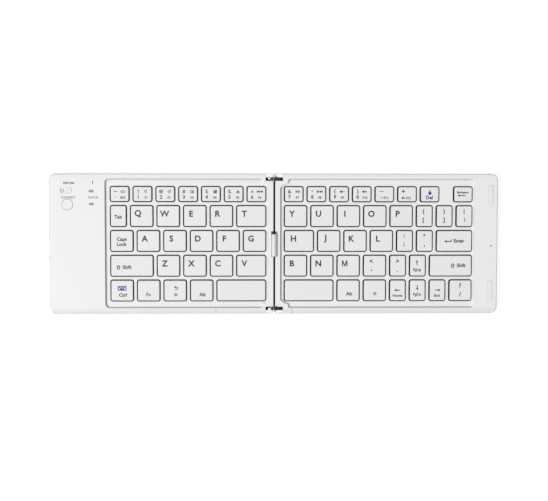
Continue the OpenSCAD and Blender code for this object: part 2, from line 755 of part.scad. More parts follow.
// The control board with its slide switch, push switch, lamps, chips and ribbon connector
module control_board() {
    color([0.12, 0.42, 0.28]) mirror([1, 0, 0]) {
        translate([board_x0, board_y0, board_z])
            cube([board_x1 - board_x0, board_y1 - board_y0, board_t]);
        translate([0, 0, board_top_z]) {
            at_switch() chip(switch_body);
            translate([button_x, button_y, 0]) {
                chip(push_switch);
                cylinder(h = push_switch[2] + plunger_h, r = plunger_r);
            }
            at_lamps() chip(lamp_chip);
            for (each_chip = CHIPS)
                translate([board_x0, board_y0, 0] + each_chip[0]) cube(each_chip[1]);
        }
    }
}

// A flat pouch cell with the folded tab of its leads
module battery() {
    x0 = board_x0 + 1.4;
    color([0.72, 0.74, 0.76]) mirror([1, 0, 0]) translate([0, 0, floor_z]) {
        linear_extrude(battery_t)
            round_rect(x0, x0 + battery_w, battery_gap - screw_y + post_r, -battery_gap, 1.5);
        translate([x0 + (battery_w - battery_tab[0]) / 2, -battery_gap - 0.2, 1]) cube(battery_tab);
    }
}

// The outline of the charging socket, grown or drawn in, as deep as the socket
module at_port(grow) {
    translate([port_x1 - port_len, port_y, port_z]) rotate([90, 0, 90]) linear_extrude(port_len)
        round_rect(-port_w / 2 - grow, port_w / 2 + grow, -port_h / 2 - grow, port_h / 2 + grow,
            port_r + grow);
}

module port_opening() {
    translate([port_sink + 0.1, 0, 0]) at_port(port_gap);
}

// A plated shell with a closed rear end and a tongue inside
module charge_port() {
    color([0.75, 0.76, 0.78]) mirror([1, 0, 0]) {
        difference() {
            at_port(0);
            translate([1, 0, 0]) at_port(-port_wall);
        }
        translate([port_x1 - port_len + 0.5, port_y - port_w / 2 + tongue_side, port_z - tongue_t / 2])
            cube([port_len - 1.3, port_w - 2 * tongue_side, tongue_t]);
    }
}

module at_bumpers() {
    for (side = [-1, 1]) translate([bumper_x, side * bumper_y, 0]) rotate([0, 0, 90]) children();
}

module closing_bumpers() {
    color([0.84, 0.85, 0.86]) at_bumpers() translate([0, 0, rim_z - pocket_seat])
        capsule(bumper_len, bumper_w, pocket_seat + bumper_h);
}

module left_base() {
    color([0.93, 0.93, 0.94]) mirror([1, 0, 0]) half_base(true);
}

module right_base() {
    color([0.92, 0.92, 0.93]) half_base(false);
}

module left_cover() {
    color([0.95, 0.95, 0.96]) mirror([1, 0, 0]) difference() {
        half_cover(left_margin, left_end_x, LEFT_KEYS, true);
        at_switch() {
            translate([0, 0, rim_z - pocket_deep]) capsule(pocket_len, pocket_w, 2);
            capsule(stem_len + switch_travel + 2 * control_gap, slot_w, rim_z);
        }
        translate([button_x, button_y, 0]) cylinder(h = 2 * rim_z, r = button_r + control_gap);
        at_lamps() capsule(lamp_len, lamp_w, 2 * rim_z);
        port_opening();
    }
}

module right_cover() {
    color([0.93, 0.93, 0.94]) difference() {
        half_cover(right_margin, right_end_x, RIGHT_KEYS, false);
        at_bumpers() translate([0, 0, rim_z - pocket_seat])
            capsule(bumper_len + 2 * seat_gap, bumper_w + 2 * seat_gap, 2);
        translate([mark_x, mark_y, rim_z - 0.5]) capsule(1.4, 0.8, 2);
    }
}

module left_key_plate() {
    color([0.62, 0.64, 0.66]) mirror([1, 0, 0]) key_plate(left_margin, left_field_w);
}

module right_key_plate() {
    color([0.62, 0.64, 0.66]) key_plate(right_margin, right_field_w);
}

module left_membrane() {
    color([0.35, 0.45, 0.42]) mirror([1, 0, 0]) membrane(left_margin, left_field_w);
}

module right_membrane() {
    color([0.35, 0.45, 0.42]) membrane(right_margin, right_field_w);
}

module domes_under(keys) {
    color([0.88, 0.88, 0.86]) for (key = keys) translate([key[1], key[2], 0]) dome();
}

module scissors_under(keys) {
    color([0.8, 0.8, 0.8]) for (key = keys) scissor_for(key);
}

module left_hinge_leaves() {
    color([0.3, 0.3, 0.32]) mirror([1, 0, 0]) at_both_ends() hinge_leaf(slot_y + hinge_gap);
}

module right_hinge_leaves() {
    color([0.3, 0.3, 0.32]) at_both_ends()
        hinge_leaf(slot_y + slot_len - hinge_gap - knuckle_len);
}

left_base();
left_cover();
left_key_plate();
left_membrane();
domes_under(LEFT_KEYS);  // left_domes
scissors_under(LEFT_KEYS);  // left_scissors
left_hinge_leaves();
mirror([1, 0, 0]) feet();  // left_feet
mirror([1, 0, 0]) screws();  // left_screws
control_board();
battery();
charge_port();
lamp_windows();
power_switch();
connect_button();
hinge_pins();
hinge_barrel();
right_base();
right_cover();
right_key_plate();
right_membrane();
domes_under(RIGHT_KEYS);  // right_domes
scissors_under(RIGHT_KEYS);  // right_scissors
right_hinge_leaves();
feet();  // right_feet
screws();  // right_screws
closing_bumpers();
caps_named(["space_l"]);  // left_space_key
caps_named(["space_r"]);  // right_space_key
caps_named(LEFT_NUMBERS);  // left_number_keys
caps_named(RIGHT_NUMBERS);  // right_number_keys
caps_named(LEFT_MODIFIERS);  // left_modifier_keys
caps_named(RIGHT_MODIFIERS);  // right_modifier_keys
caps_named(SYMBOLS_AND_ARROWS);  // symbol_and_arrow_keys
for (letter = LETTERS)
    caps_named([letter]);
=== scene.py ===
import math

import bmesh
import bpy
from mathutils import Matrix, Vector


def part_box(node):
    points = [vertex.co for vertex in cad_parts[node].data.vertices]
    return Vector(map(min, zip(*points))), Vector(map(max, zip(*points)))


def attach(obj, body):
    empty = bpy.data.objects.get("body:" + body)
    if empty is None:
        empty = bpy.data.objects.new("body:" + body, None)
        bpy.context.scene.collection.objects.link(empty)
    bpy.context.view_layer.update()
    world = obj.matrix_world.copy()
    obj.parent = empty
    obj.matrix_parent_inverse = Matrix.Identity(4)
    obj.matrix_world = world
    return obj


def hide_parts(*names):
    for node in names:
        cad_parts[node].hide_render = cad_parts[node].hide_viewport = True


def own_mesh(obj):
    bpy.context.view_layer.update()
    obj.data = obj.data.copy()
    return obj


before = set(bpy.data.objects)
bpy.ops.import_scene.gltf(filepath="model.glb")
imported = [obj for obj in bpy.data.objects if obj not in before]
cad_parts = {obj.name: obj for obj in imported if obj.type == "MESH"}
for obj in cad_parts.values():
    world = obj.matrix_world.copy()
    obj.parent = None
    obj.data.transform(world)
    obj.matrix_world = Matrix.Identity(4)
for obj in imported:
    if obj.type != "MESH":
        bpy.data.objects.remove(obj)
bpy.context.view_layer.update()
scene = bpy.context.scene
MM = 0.001

# The camera hangs over the open keyboard, a little behind its middle, and looks straight down.
camera = bpy.data.objects.new("camera", bpy.data.cameras.new("camera"))
camera.location = (-0.0149, 0.0339, 0.7)
camera.rotation_euler = [math.radians(turn) for turn in (-3.167, -1.214, 0.056)]
camera.data.sensor_width = 36
camera.data.lens = 67.05
camera.data.clip_start = 0.01
scene.collection.objects.link(camera)
scene.camera = camera
scene.view_settings.view_transform = "Standard"


# The studio: an even pale room, seen as white, with a large soft box to the left of the keyboard
# and a weaker one behind it.
def seen_by_eye(nodes, links):
    """1 for rays from the camera, off a gloss or through glass, 0 for the rays that light."""
    path = nodes.new("ShaderNodeLightPath")
    gloss = nodes.new("ShaderNodeMath")
    gloss.operation = "MAXIMUM"
    links.new(path.outputs["Is Camera Ray"], gloss.inputs[0])
    links.new(path.outputs["Is Glossy Ray"], gloss.inputs[1])
    either = nodes.new("ShaderNodeMath")
    either.operation = "MAXIMUM"
    links.new(gloss.outputs[0], either.inputs[0])
    links.new(path.outputs["Is Transmission Ray"], either.inputs[1])
    return either.outputs[0]


ROOM_LIGHT = 0.42
world = bpy.data.worlds.new("studio_room")
scene.world = world
world.use_nodes = True
room_nodes, room_links = world.node_tree.nodes, world.node_tree.links
room_nodes["Background"].inputs["Color"].default_value = (1, 1, 1, 1)
room_level = room_nodes.new("ShaderNodeMapRange")
room_level.inputs["To Min"].default_value = ROOM_LIGHT
room_level.inputs["To Max"].default_value = 1
room_links.new(seen_by_eye(room_nodes, room_links), room_level.inputs["Value"])
room_links.new(room_level.outputs["Result"], room_nodes["Background"].inputs["Strength"])


def soft_box(name, place, size, power):
    """A square lamp that faces the middle of the keyboard."""
    lamp = bpy.data.lights.new(name, "AREA")
    lamp.shape = "SQUARE"
    lamp.size = size
    lamp.energy = power
    box = bpy.data.objects.new(name, lamp)
    box.location = place
    box.rotation_euler = Vector(place).to_track_quat("Z", "Y").to_euler()
    scene.collection.objects.link(box)


soft_box("soft_box_left", place=(-2.7, -0.95, 3.7), size=1.6, power=168)
soft_box("soft_box_rear", place=(-0.3, 2.6, 2.1), size=1.3, power=8)

# The table is a plain white sheet that keeps the keyboard's shadow.
TABLE_HALF = 3
TABLE_WHITE = 0.36
TABLE_GLOW = 0.8
table_mesh = bpy.data.meshes.new("table")
table_corners = [
    (x * TABLE_HALF, y * TABLE_HALF, 0) for x, y in ((-1, -1), (1, -1), (1, 1), (-1, 1))]
table_mesh.from_pydata(table_corners, [], [(0, 1, 2, 3)])
table = bpy.data.objects.new("table", table_mesh)
scene.collection.objects.link(table)
sheet = bpy.data.materials.new("white_sheet")
sheet.use_nodes = True
sheet_nodes, sheet_links = sheet.node_tree.nodes, sheet.node_tree.links
sheet_shader = sheet_nodes["Principled BSDF"]
sheet_shader.inputs["Base Color"].default_value = (TABLE_WHITE, TABLE_WHITE, TABLE_WHITE, 1)
sheet_shader.inputs["Roughness"].default_value = 0.9
sheet_shader.inputs["Specular IOR Level"].default_value = 0
sheet_shader.inputs["Emission Color"].default_value = (1, 1, 1, 1)
# The glow is taken away in the narrow gaps under and beside the keyboard: a painted shadow. It
# is gone where less than the first share of the sky is seen, and full above the second.
SKY_GONE, SKY_FULL = 0.24, 0.36
shadow_occlusion = sheet_nodes.new("ShaderNodeAmbientOcclusion")
shadow_occlusion.inputs["Distance"].default_value = 4 * MM
glow_outside_shadow = sheet_nodes.new("ShaderNodeMapRange")
for label, number in (("From Min", SKY_GONE), ("From Max", SKY_FULL), ("To Max", TABLE_GLOW)):
    glow_outside_shadow.inputs[label].default_value = number
sheet_glow = sheet_nodes.new("ShaderNodeMath")
sheet_glow.operation = "MULTIPLY"
sheet_links.new(shadow_occlusion.outputs["AO"], glow_outside_shadow.inputs["Value"])
sheet_links.new(glow_outside_shadow.outputs["Result"], sheet_glow.inputs[1])
sheet_links.new(seen_by_eye(sheet_nodes, sheet_links), sheet_glow.inputs[0])
sheet_links.new(sheet_glow.outputs[0], sheet_shader.inputs["Emission Strength"])
table_mesh.materials.append(sheet)


# The two covers are white injection mouldings with a fine satin texture. Every edge that a tool
# leaves on them, round the windows, the key field and the notches, is broken by a small radius.
def group_of(name, inputs, outputs):
    """An empty node group for materials, with its named number inputs and its outputs."""
    group = bpy.data.node_groups.new(name, "ShaderNodeTree")
    for label, value in inputs.items():
        socket = group.interface.new_socket(label, in_out="INPUT", socket_type="NodeSocketFloat")
        socket.default_value = value
    for label in outputs:
        group.interface.new_socket(label, in_out="OUTPUT", socket_type="NodeSocketFloat")
    start = group.nodes.new("NodeGroupInput")
    end = group.nodes.new("NodeGroupOutput")
    return group, start.outputs, end.inputs


def noise(group, place, scale, detail):
    """Fractal noise at a place on the piece. Scale is a number or a socket."""
    node = group.nodes.new("ShaderNodeTexNoise")
    node.inputs["Detail"].default_value = detail
    group.links.new(place, node.inputs["Vector"])
    if isinstance(scale, (int, float)):
        node.inputs["Scale"].default_value = scale
    else:
        group.links.new(scale, node.inputs["Scale"])
    return node.outputs["Fac"]


def ranged(group, value, low, high, to_low=0.0, to_high=1.0):
    """A value carried over from one range to another, and held at its ends."""
    node = group.nodes.new("ShaderNodeMapRange")
    for label, number in (("From Min", low), ("From Max", high),
                          ("To Min", to_low), ("To Max", to_high)):
        node.inputs[label].default_value = number
    group.links.new(value, node.inputs["Value"])
    return node.outputs["Result"]


def combined(group, operation, first, second):
    """One step of arithmetic on numbers or sockets."""
    node = group.nodes.new("ShaderNodeMath")
    node.operation = operation
    for socket, value in zip(node.inputs, (first, second)):
        if isinstance(value, (int, float)):
            socket.default_value = value
        else:
            group.links.new(value, socket)
    return node.outputs[0]


def tinted(tree, factor, colour):
    """Lays another colour over what a material has so far, where the factor says so."""
    base = tree.nodes["Principled BSDF"].inputs["Base Color"]
    mix = tree.nodes.new("ShaderNodeMix")
    mix.data_type = "RGBA"
    mix.inputs["B"].default_value = (*colour, 1)
    tree.links.new(factor, mix.inputs["Factor"])
    tree.links.new(base.links[0].from_socket, mix.inputs["A"])
    tree.links.new(mix.outputs["Result"], base)


def place_on(tree):
    """The coordinates X, Y and Z of a place on the piece, in metres."""
    place = tree.nodes.new("ShaderNodeSeparateXYZ")
    tree.links.new(tree.nodes.new("ShaderNodeTexCoord").outputs["Object"], place.inputs[0])
    return place.outputs


def written_on(tree, name):
    """A number that the mesh holds for each face."""
    node = tree.nodes.new("ShaderNodeAttribute")
    node.attribute_name = name
    return node.outputs["Fac"]


def hung(mesh, name, body, slot=None, *nodes):
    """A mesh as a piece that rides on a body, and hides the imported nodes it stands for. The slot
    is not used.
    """
    piece = bpy.data.objects.new(name, mesh)
    scene.collection.objects.link(piece)
    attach(piece, body)
    if nodes:
        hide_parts(*nodes)
    return piece


# Moulded texture: a fine spark-eroded grain, and faint flow marks across a whole piece
grain, grain_in, grain_out = group_of(
    "moulded_grain", {"Grain": 5000, "Flow": 30}, ("Height", "Flow Mark"))
grain_place = grain.nodes.new("ShaderNodeTexCoord").outputs["Object"]
grain.links.new(noise(grain, grain_place, grain_in["Grain"], 2), grain_out["Height"])
grain.links.new(
    ranged(grain, noise(grain, grain_place, grain_in["Flow"], 4), 0.3, 0.7), grain_out["Flow Mark"])

# Wear and painted shade: convex edges rub smooth, and corners darken as soiling and as painted
# shade, both broken up by noise
wear, wear_in, wear_out = group_of("edge_wear_and_corner_shade", {"Breakup": 900}, ("Rubbed", "Dust And Shade"))
wear_place = wear.nodes.new("ShaderNodeTexCoord").outputs["Object"]
bend = wear.nodes.new("ShaderNodeNewGeometry").outputs["Pointiness"]
patches = ranged(wear, noise(wear, wear_place, wear_in["Breakup"], 3), 0.35, 0.65)
wear.links.new(
    combined(wear, "MULTIPLY", ranged(wear, bend, 0.51, 0.56), patches), wear_out["Rubbed"])
wear.links.new(
    combined(wear, "MULTIPLY", ranged(wear, bend, 0.49, 0.44), patches), wear_out["Dust And Shade"])


def plastic(name, colour, roughness, grain_size=0.2, grain_depth=0.004, dust_and_shade=0.05, **plain):
    """Moulded plastic. Sizes are in millimetres; the corners darken by the given share, partly as
    soiling and partly as painted shade, and plain holds numbers for the shader's own sockets."""
    material = bpy.data.materials.new(name)
    material.use_nodes = True
    tree = material.node_tree
    shader = tree.nodes["Principled BSDF"]
    grains = tree.nodes.new("ShaderNodeGroup")
    grains.node_tree = grain
    grains.inputs["Grain"].default_value = 1 / (grain_size * MM)
    worn = tree.nodes.new("ShaderNodeGroup")
    worn.node_tree = wear
    shade = tree.nodes.new("ShaderNodeMix")
    shade.data_type = "RGBA"
    shade.inputs["A"].default_value = (*[c * 0.985 for c in colour], 1)
    shade.inputs["B"].default_value = (*colour, 1)
    tree.links.new(grains.outputs["Flow Mark"], shade.inputs["Factor"])
    # Corners are darkened, partly as soiling and partly as painted shade
    dust_and_shade_mix = tree.nodes.new("ShaderNodeMix")
    dust_and_shade_mix.data_type = "RGBA"
    dust_and_shade_mix.inputs["B"].default_value = (*[c * (1 - dust_and_shade) ** 2 for c in colour], 1)
    tree.links.new(worn.outputs["Dust And Shade"], dust_and_shade_mix.inputs["Factor"])
    tree.links.new(shade.outputs["Result"], dust_and_shade_mix.inputs["A"])
    tree.links.new(dust_and_shade_mix.outputs["Result"], shader.inputs["Base Color"])
    smooth = ranged(tree, worn.outputs["Rubbed"], 0, 1, roughness, roughness * 0.7)
    tree.links.new(smooth, shader.inputs["Roughness"])
    bump = tree.nodes.new("ShaderNodeBump")
    bump.inputs["Distance"].default_value = grain_depth * MM
    bump.inputs["Strength"].default_value = 0.6
    tree.links.new(grains.outputs["Height"], bump.inputs["Height"])
    tree.links.new(bump.outputs["Normal"], shader.inputs["Normal"])
    for label, number in plain.items():
        shader.inputs[label.replace("_", " ")].default_value = number
    return material


def finished(mesh_owner, name, body, slot, material, *nodes):
    """Turns what the modifiers on an object give into a plain piece, and hangs it on its body."""
    made = bpy.context.evaluated_depsgraph_get()
    mesh = bpy.data.meshes.new_from_object(
        mesh_owner.evaluated_get(made), preserve_all_data_layers=True, depsgraph=made)
    bpy.data.objects.remove(mesh_owner)
    mesh.name = name
    mesh.materials.clear()
    mesh.materials.append(material)
    return hung(mesh, name, body, slot, *nodes)


SAME_POINT = 1e-6
FLAT_ANGLE, EDGE_ANGLE = math.radians(0.3), math.radians(32)


def softened(node, body, slot, material, radius):
    """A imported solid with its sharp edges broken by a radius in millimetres."""
    form = bmesh.new()
    form.from_mesh(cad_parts[node].data)
    bmesh.ops.remove_doubles(form, verts=form.verts, dist=SAME_POINT)
    bmesh.ops.dissolve_limit(form, angle_limit=FLAT_ANGLE, verts=form.verts, edges=form.edges)
    mesh = bpy.data.meshes.new(node)
    form.to_mesh(mesh)
    form.free()
    mesh.shade_smooth()
    owner = bpy.data.objects.new(node + "_form", mesh)
    scene.collection.objects.link(owner)
    bevel = owner.modifiers.new("broken_edges", "BEVEL")
    bevel.width = radius * MM
    bevel.segments = 2
    bevel.limit_method = "ANGLE"
    bevel.angle_limit = EDGE_ANGLE
    bevel.use_clamp_overlap = True
    flats = owner.modifiers.new("level_flats", "WEIGHTED_NORMAL")
    flats.mode = "FACE_AREA"
    flats.weight = 100
    return finished(owner, node + "_moulding", body, slot, material, node)


COVER_WHITE = (0.785, 0.785, 0.789)
OUTLINE_HALF = (152.5, 47.7)
OUTLINE_CORNER = 4.5
# The share of the white that is left where each kind of painted shade is darkest, and where that
# shade begins and is darkest: in from the outer edge, and in height inside the fold
WALL_SHADE_SHARE, EDGE_SHADE_SHARE, FOLD_SHADE_SHARE = 0.25, 0.7, 0.35
EDGE_SHADE_FADE = (0.9, 0.4)
FOLD_SHADE_FADE = (6.9, 5.5)
FOLD_HALF = 0.7
SHADED_EDGE_LEFT, SHADED_EDGE_FRONT = -148, -43.2


def shell_plastic(name, white):
    """The plastic of the shells, and the place on it. Walls are painted darker than level faces, as
    shade. The fold is painted dark as the shade inside it, and the outer edge at the front and left
    as the shade of its rounding."""
    material = plastic(name, white, 0.42, dust_and_shade=0.06)
    tree = material.node_tree
    place = place_on(tree)
    # Walls are painted darker as shade, by the share written on each face
    tinted(tree, written_on(tree, "wall"), [c * WALL_SHADE_SHARE for c in white])
    # The outer edge at the front and left is painted darker, as the shade of its rounding
    squares = []
    for half, axis in zip(OUTLINE_HALF, "XY"):
        reach = combined(tree, "ABSOLUTE", place[axis], 0)
        past = combined(tree, "SUBTRACT", reach, (half - OUTLINE_CORNER) * MM)
        past = combined(tree, "MAXIMUM", past, 0)
        squares.append(combined(tree, "MULTIPLY", past, past))
    to_edge = combined(tree, "POWER", combined(tree, "ADD", *squares), 0.5)
    at_edge = ranged(tree, to_edge, *[(OUTLINE_CORNER - inside) * MM for inside in EDGE_SHADE_FADE])
    shaded_edge_sides = combined(tree, "MAXIMUM",
                       combined(tree, "LESS_THAN", place["X"], SHADED_EDGE_LEFT * MM),
                       combined(tree, "LESS_THAN", place["Y"], SHADED_EDGE_FRONT * MM))
    tinted(tree, combined(tree, "MULTIPLY", at_edge, shaded_edge_sides), [c * EDGE_SHADE_SHARE for c in white])
    # The fold gap is painted dark, more so lower down, as the shade inside it
    from_fold = combined(tree, "ABSOLUTE", place["X"], 0)
    in_fold = combined(tree, "LESS_THAN", from_fold, FOLD_HALF * MM)
    deep = ranged(tree, place["Z"], *[height * MM for height in FOLD_SHADE_FADE], 0, 0.9)
    tinted(tree, combined(tree, "MULTIPLY", in_fold, deep), [c * FOLD_SHADE_SHARE for c in white])
    return material, place


# The front rim is painted a little darker towards its edge, as shade, the rear rim less so
cover_plastic, cover_place = shell_plastic("satin_white_moulding", COVER_WHITE)
cover_tree = cover_plastic.node_tree
front_rim_shade = ranged(cover_tree, cover_place["Y"], -43 * MM, -46.5 * MM)
rear_rim_shade = ranged(cover_tree, cover_place["Y"], 43 * MM, 46.5 * MM, 0, 0.4)
tinted(cover_tree, combined(cover_tree, "ADD", front_rim_shade, rear_rim_shade),
       [c * 0.88 for c in COVER_WHITE])
# Two fine seams of the moulding tool cross the front rim
SEAM_FADE = (0.35, 0.15)
SEAM_DEPTH = 0.8
SEAM_GREY = (0.35, 0.35, 0.35)
in_front_rim = combined(cover_tree, "LESS_THAN", cover_place["Y"], -44 * MM)
for seam_x in (-39.7, 12.2):
    off_seam = combined(cover_tree, "SUBTRACT", cover_place["X"], seam_x * MM)
    off_seam = combined(cover_tree, "ABSOLUTE", off_seam, 0)
    on_seam = ranged(cover_tree, off_seam, *[off * MM for off in SEAM_FADE], 0, SEAM_DEPTH)
    tinted(cover_tree, combined(cover_tree, "MULTIPLY", on_seam, in_front_rim), SEAM_GREY)


# How much painted shade a wall gets when it faces right, left, to the front and to the rear: in a
# key window, at the border of the recess, and anywhere else
WINDOW_WALL_SHADE = (1, 0.12, 0.45, 0.4)
BORDER_WALL_SHADE = (0.5, 0.05, 0.1, 0.45)
OUTER_WALL_SHADE = (0.35, 0.35, 0.35, 0.35)
RIGHT, LEFT, FRONT, REAR = 0, 1, 2, 3
PANEL_HEIGHT = 5.6
RECESS_FROM_FOLD, RECESS_END, RECESS_SIDE = 1.5, 139, 43.5
LEVEL_NORMAL, STEEP_NORMAL = 0.97, 0.57


def mark_wall_shade(piece):
    """Writes on each face how much painted shade it gets: how steep it is times the shade of its
    side.
    """
    wall_shade_values = []
    for face in piece.data.polygons:
        x, y, z = (abs(c) / MM for c in face.center)
        if not RECESS_FROM_FOLD <= x <= RECESS_END or y > RECESS_SIDE:
            sides = OUTER_WALL_SHADE
        else:
            sides = WINDOW_WALL_SHADE if z < PANEL_HEIGHT else BORDER_WALL_SHADE
        if abs(face.normal.x) > abs(face.normal.y):
            side = RIGHT if face.normal.x > 0 else LEFT
        else:
            side = FRONT if face.normal.y < 0 else REAR
        steepness = (LEVEL_NORMAL - abs(face.normal.z)) / (LEVEL_NORMAL - STEEP_NORMAL)
        wall_shade_values.append(min(1.0, max(0.0, steepness)) * sides[side])
    piece.data.attributes.new("wall", "FLOAT", "FACE").data.foreach_set("value", wall_shade_values)


for side in ("left", "right"):
    mark_wall_shade(softened(side + "_cover", side + "_half", "white_shell", cover_plastic, 0.15))

# The bases are the bottom shells of the same plastic, with the end blocks that close the hinge
# notches from outside. Screws from below hold each base to its cover.
base_plastic = shell_plastic("polished_white_moulding", (0.88, 0.88, 0.885))[0]
for side in ("left", "right"):
    mark_wall_shade(softened(side + "_base", side + "_half", "white_shell", base_plastic, 0.1))


# The key caps are one moulding form in many sizes: a flat top with a rounded edge, a short skirt,
# and a hollow underside. Each stands in its window with the same gap all round.
CAP_CORNER = 1.0
CAP_EDGE = 0.45
CAP_SKIN = 1.0
CAP_HEIGHT = 2.4
FORM_SIZE = 8.0
EDGE_STEPS = 5
CORNER_STEPS = 6
LEAST_CORNER = 0.02
SHARP_ANGLE = math.radians(40)


def round_outline(width, depth, radius):
    """Points round a rectangle with round corners, in metres, counter-clockwise from above."""
    points = []
    for corner, (sx, sy) in enumerate(((1, 1), (-1, 1), (-1, -1), (1, -1))):
        for step in range(CORNER_STEPS + 1):
            turn = math.radians(90 * (corner + step / CORNER_STEPS))
            points.append((MM * (sx * (width / 2 - radius) + radius * math.cos(turn)),
                           MM * (sy * (depth / 2 - radius) + radius * math.sin(turn))))
    return points


def loft(name, width, depth, corner, levels):
    """A closed solid through the levels of one outline. A level is how far the outline is drawn in
    and its height, in millimetres, and the list runs from the lowest face round to the top one."""
    form = bmesh.new()
    rings = []
    for inset, height in levels:
        outline = round_outline(
            width - 2 * inset, depth - 2 * inset, max(corner - inset, LEAST_CORNER))
        rings.append([form.verts.new((x, y, height * MM)) for x, y in outline])
    for low, high in zip(rings, rings[1:]):
        for i in range(len(low)):
            j = (i + 1) % len(low)
            form.faces.new((low[i], low[j], high[j], high[i]))
    form.faces.new(rings[-1])
    form.faces.new(rings[0][::-1])
    mesh = bpy.data.meshes.new(name)
    form.to_mesh(mesh)
    form.free()
    mesh.shade_smooth()
    mesh.set_sharp_from_angle(angle=SHARP_ANGLE)
    return mesh


def rounding(radius, top):
    """Levels of a round upper edge, from the wall up to the flat top."""
    turns = [math.radians(90 * step / EDGE_STEPS) for step in range(EDGE_STEPS + 1)]
    return [(radius * (1 - math.cos(t)), top - radius * (1 - math.sin(t))) for t in turns]


# Geometry Nodes set the form on each place and stretch it to the size that the place asks for
places = bpy.data.node_groups.new("form_on_places", "GeometryNodeTree")
for label, direction, kind in (("Places", "INPUT", "Geometry"), ("Form", "INPUT", "Object"),
                               ("Form Size", "INPUT", "Vector"), ("Finish", "INPUT", "Material"),
                               ("Pieces", "OUTPUT", "Geometry")):
    places.interface.new_socket(label, in_out=direction, socket_type="NodeSocket" + kind)
place_start = places.nodes.new("NodeGroupInput").outputs
place_end = places.nodes.new("NodeGroupOutput").inputs
source = places.nodes.new("GeometryNodeObjectInfo")
keep_place = places.nodes.new("GeometryNodeStoreNamedAttribute")
keep_place.data_type = "FLOAT_VECTOR"
keep_place.inputs["Name"].default_value = "form_place"
on_points = places.nodes.new("GeometryNodeInstanceOnPoints")
realize = places.nodes.new("GeometryNodeRealizeInstances")
stretch = places.nodes.new("GeometryNodeSetPosition")
coat = places.nodes.new("GeometryNodeSetMaterial")


def named_vector(name):
    """A vector that the points or the form carry under a name."""
    node = places.nodes.new("GeometryNodeInputNamedAttribute")
    node.data_type = "FLOAT_VECTOR"
    node.inputs["Name"].default_value = name
    return node.outputs["Attribute"]


def vector_math(operation, *values):
    """One step of arithmetic on vectors or sockets."""
    node = places.nodes.new("ShaderNodeVectorMath")
    node.operation = operation
    for socket, value in zip(node.inputs, values):
        if isinstance(value, tuple):
            socket.default_value = value
        else:
            places.links.new(value, socket)
    return node.outputs["Vector"]


side_of = vector_math("SIGN", named_vector("form_place"))
growth = vector_math("SUBTRACT", named_vector("size"), place_start["Form Size"])
shift = vector_math("MULTIPLY", vector_math("MULTIPLY", side_of, growth), (0.5, 0.5, 0))
for out_socket, in_socket in (
        (place_start["Form"], source.inputs["Object"]),
        (source.outputs["Geometry"], keep_place.inputs["Geometry"]),
        (places.nodes.new("GeometryNodeInputPosition").outputs[0], keep_place.inputs["Value"]),
        (place_start["Places"], on_points.inputs["Points"]),
        (keep_place.outputs["Geometry"], on_points.inputs["Instance"]),
        (on_points.outputs["Instances"], realize.inputs["Geometry"]),
        (realize.outputs["Geometry"], stretch.inputs["Geometry"]),
        (shift, stretch.inputs["Offset"]),
        (stretch.outputs["Geometry"], coat.inputs["Geometry"]),
        (place_start["Finish"], coat.inputs["Material"]),
        (coat.outputs["Geometry"], place_end["Pieces"])):
    places.links.new(out_socket, in_socket)
PLACE_INPUT = {item.name: item.identifier for item in places.interface.items_tree
               if item.in_out == "INPUT"}


def set_on_places(form, form_size, spots, name, body, slot, material, *nodes):
    """One form on each spot, a place and a size in metres, as one piece."""
    mesh = bpy.data.meshes.new(name)
    mesh.from_pydata([place for place, size in spots], [], [])
    sizes = mesh.attributes.new("size", "FLOAT_VECTOR", "POINT")
    sizes.data.foreach_set("vector", [number for place, size in spots for number in size])
    owner = bpy.data.objects.new(name + "_places", mesh)
    scene.collection.objects.link(owner)
    modifier = owner.modifiers.new("forms", "NODES")
    modifier.node_group = places
    modifier[PLACE_INPUT["Form"]] = form
    modifier[PLACE_INPUT["Form Size"]] = form_size
    modifier[PLACE_INPUT["Finish"]] = material
    piece = finished(owner, name, body, slot, material, *nodes)
    for spare in ("size", "form_place"):
        piece.data.attributes.remove(piece.data.attributes[spare])
    return piece


def solids_of(node):
    """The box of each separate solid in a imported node, rows from the rear and from the left."""
    form = bmesh.new()
    form.from_mesh(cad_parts[node].data)
    bmesh.ops.remove_doubles(form, verts=form.verts, dist=SAME_POINT)
    left, boxes = set(form.verts), []
    while left:
        found, edge = set(), {left.pop()}
        while edge:
            vert = edge.pop()
            found.add(vert)
            edge |= {e.other_vert(vert) for e in vert.link_edges} - found
        left -= found
        axes = list(zip(*(v.co for v in found)))
        boxes.append((Vector(map(min, axes)), Vector(map(max, axes))))
    form.free()
    return sorted(boxes, key=lambda box: (round(-box[0].y, 3), box[0].x))


def on_stage_as_form(name, mesh):
    """A form that Geometry Nodes copies. It is no piece and is removed at the end."""
    form = bpy.data.objects.new(name, mesh)
    scene.collection.objects.link(form)
    return form


# The foot of the skirt is rounded off on the outside, through a middle level, and broken on the
# inside. The last ring keeps the top flat.
FOOT_EDGE, FOOT_MIDDLE, INNER_EDGE, TOP_RING = 0.12, 0.03, 0.02, 0.03
cap_roof = CAP_HEIGHT - CAP_SKIN
cap_levels = [(CAP_SKIN + INNER_EDGE, cap_roof), (CAP_SKIN, cap_roof - INNER_EDGE),
              (CAP_SKIN, INNER_EDGE), (CAP_SKIN - INNER_EDGE, 0), (FOOT_EDGE, 0),
              (FOOT_MIDDLE, FOOT_MIDDLE), (0, FOOT_EDGE)]
cap_levels += rounding(CAP_EDGE, CAP_HEIGHT) + [(CAP_EDGE + TOP_RING, CAP_HEIGHT)]
cap_form = on_stage_as_form(
    "cap_form", loft("cap_form", FORM_SIZE, FORM_SIZE, CAP_CORNER, cap_levels))
cap_plastic = plastic(
    "satin_key_plastic", (0.755, 0.755, 0.76), 0.38, grain_depth=0.003, dust_and_shade=0.04)
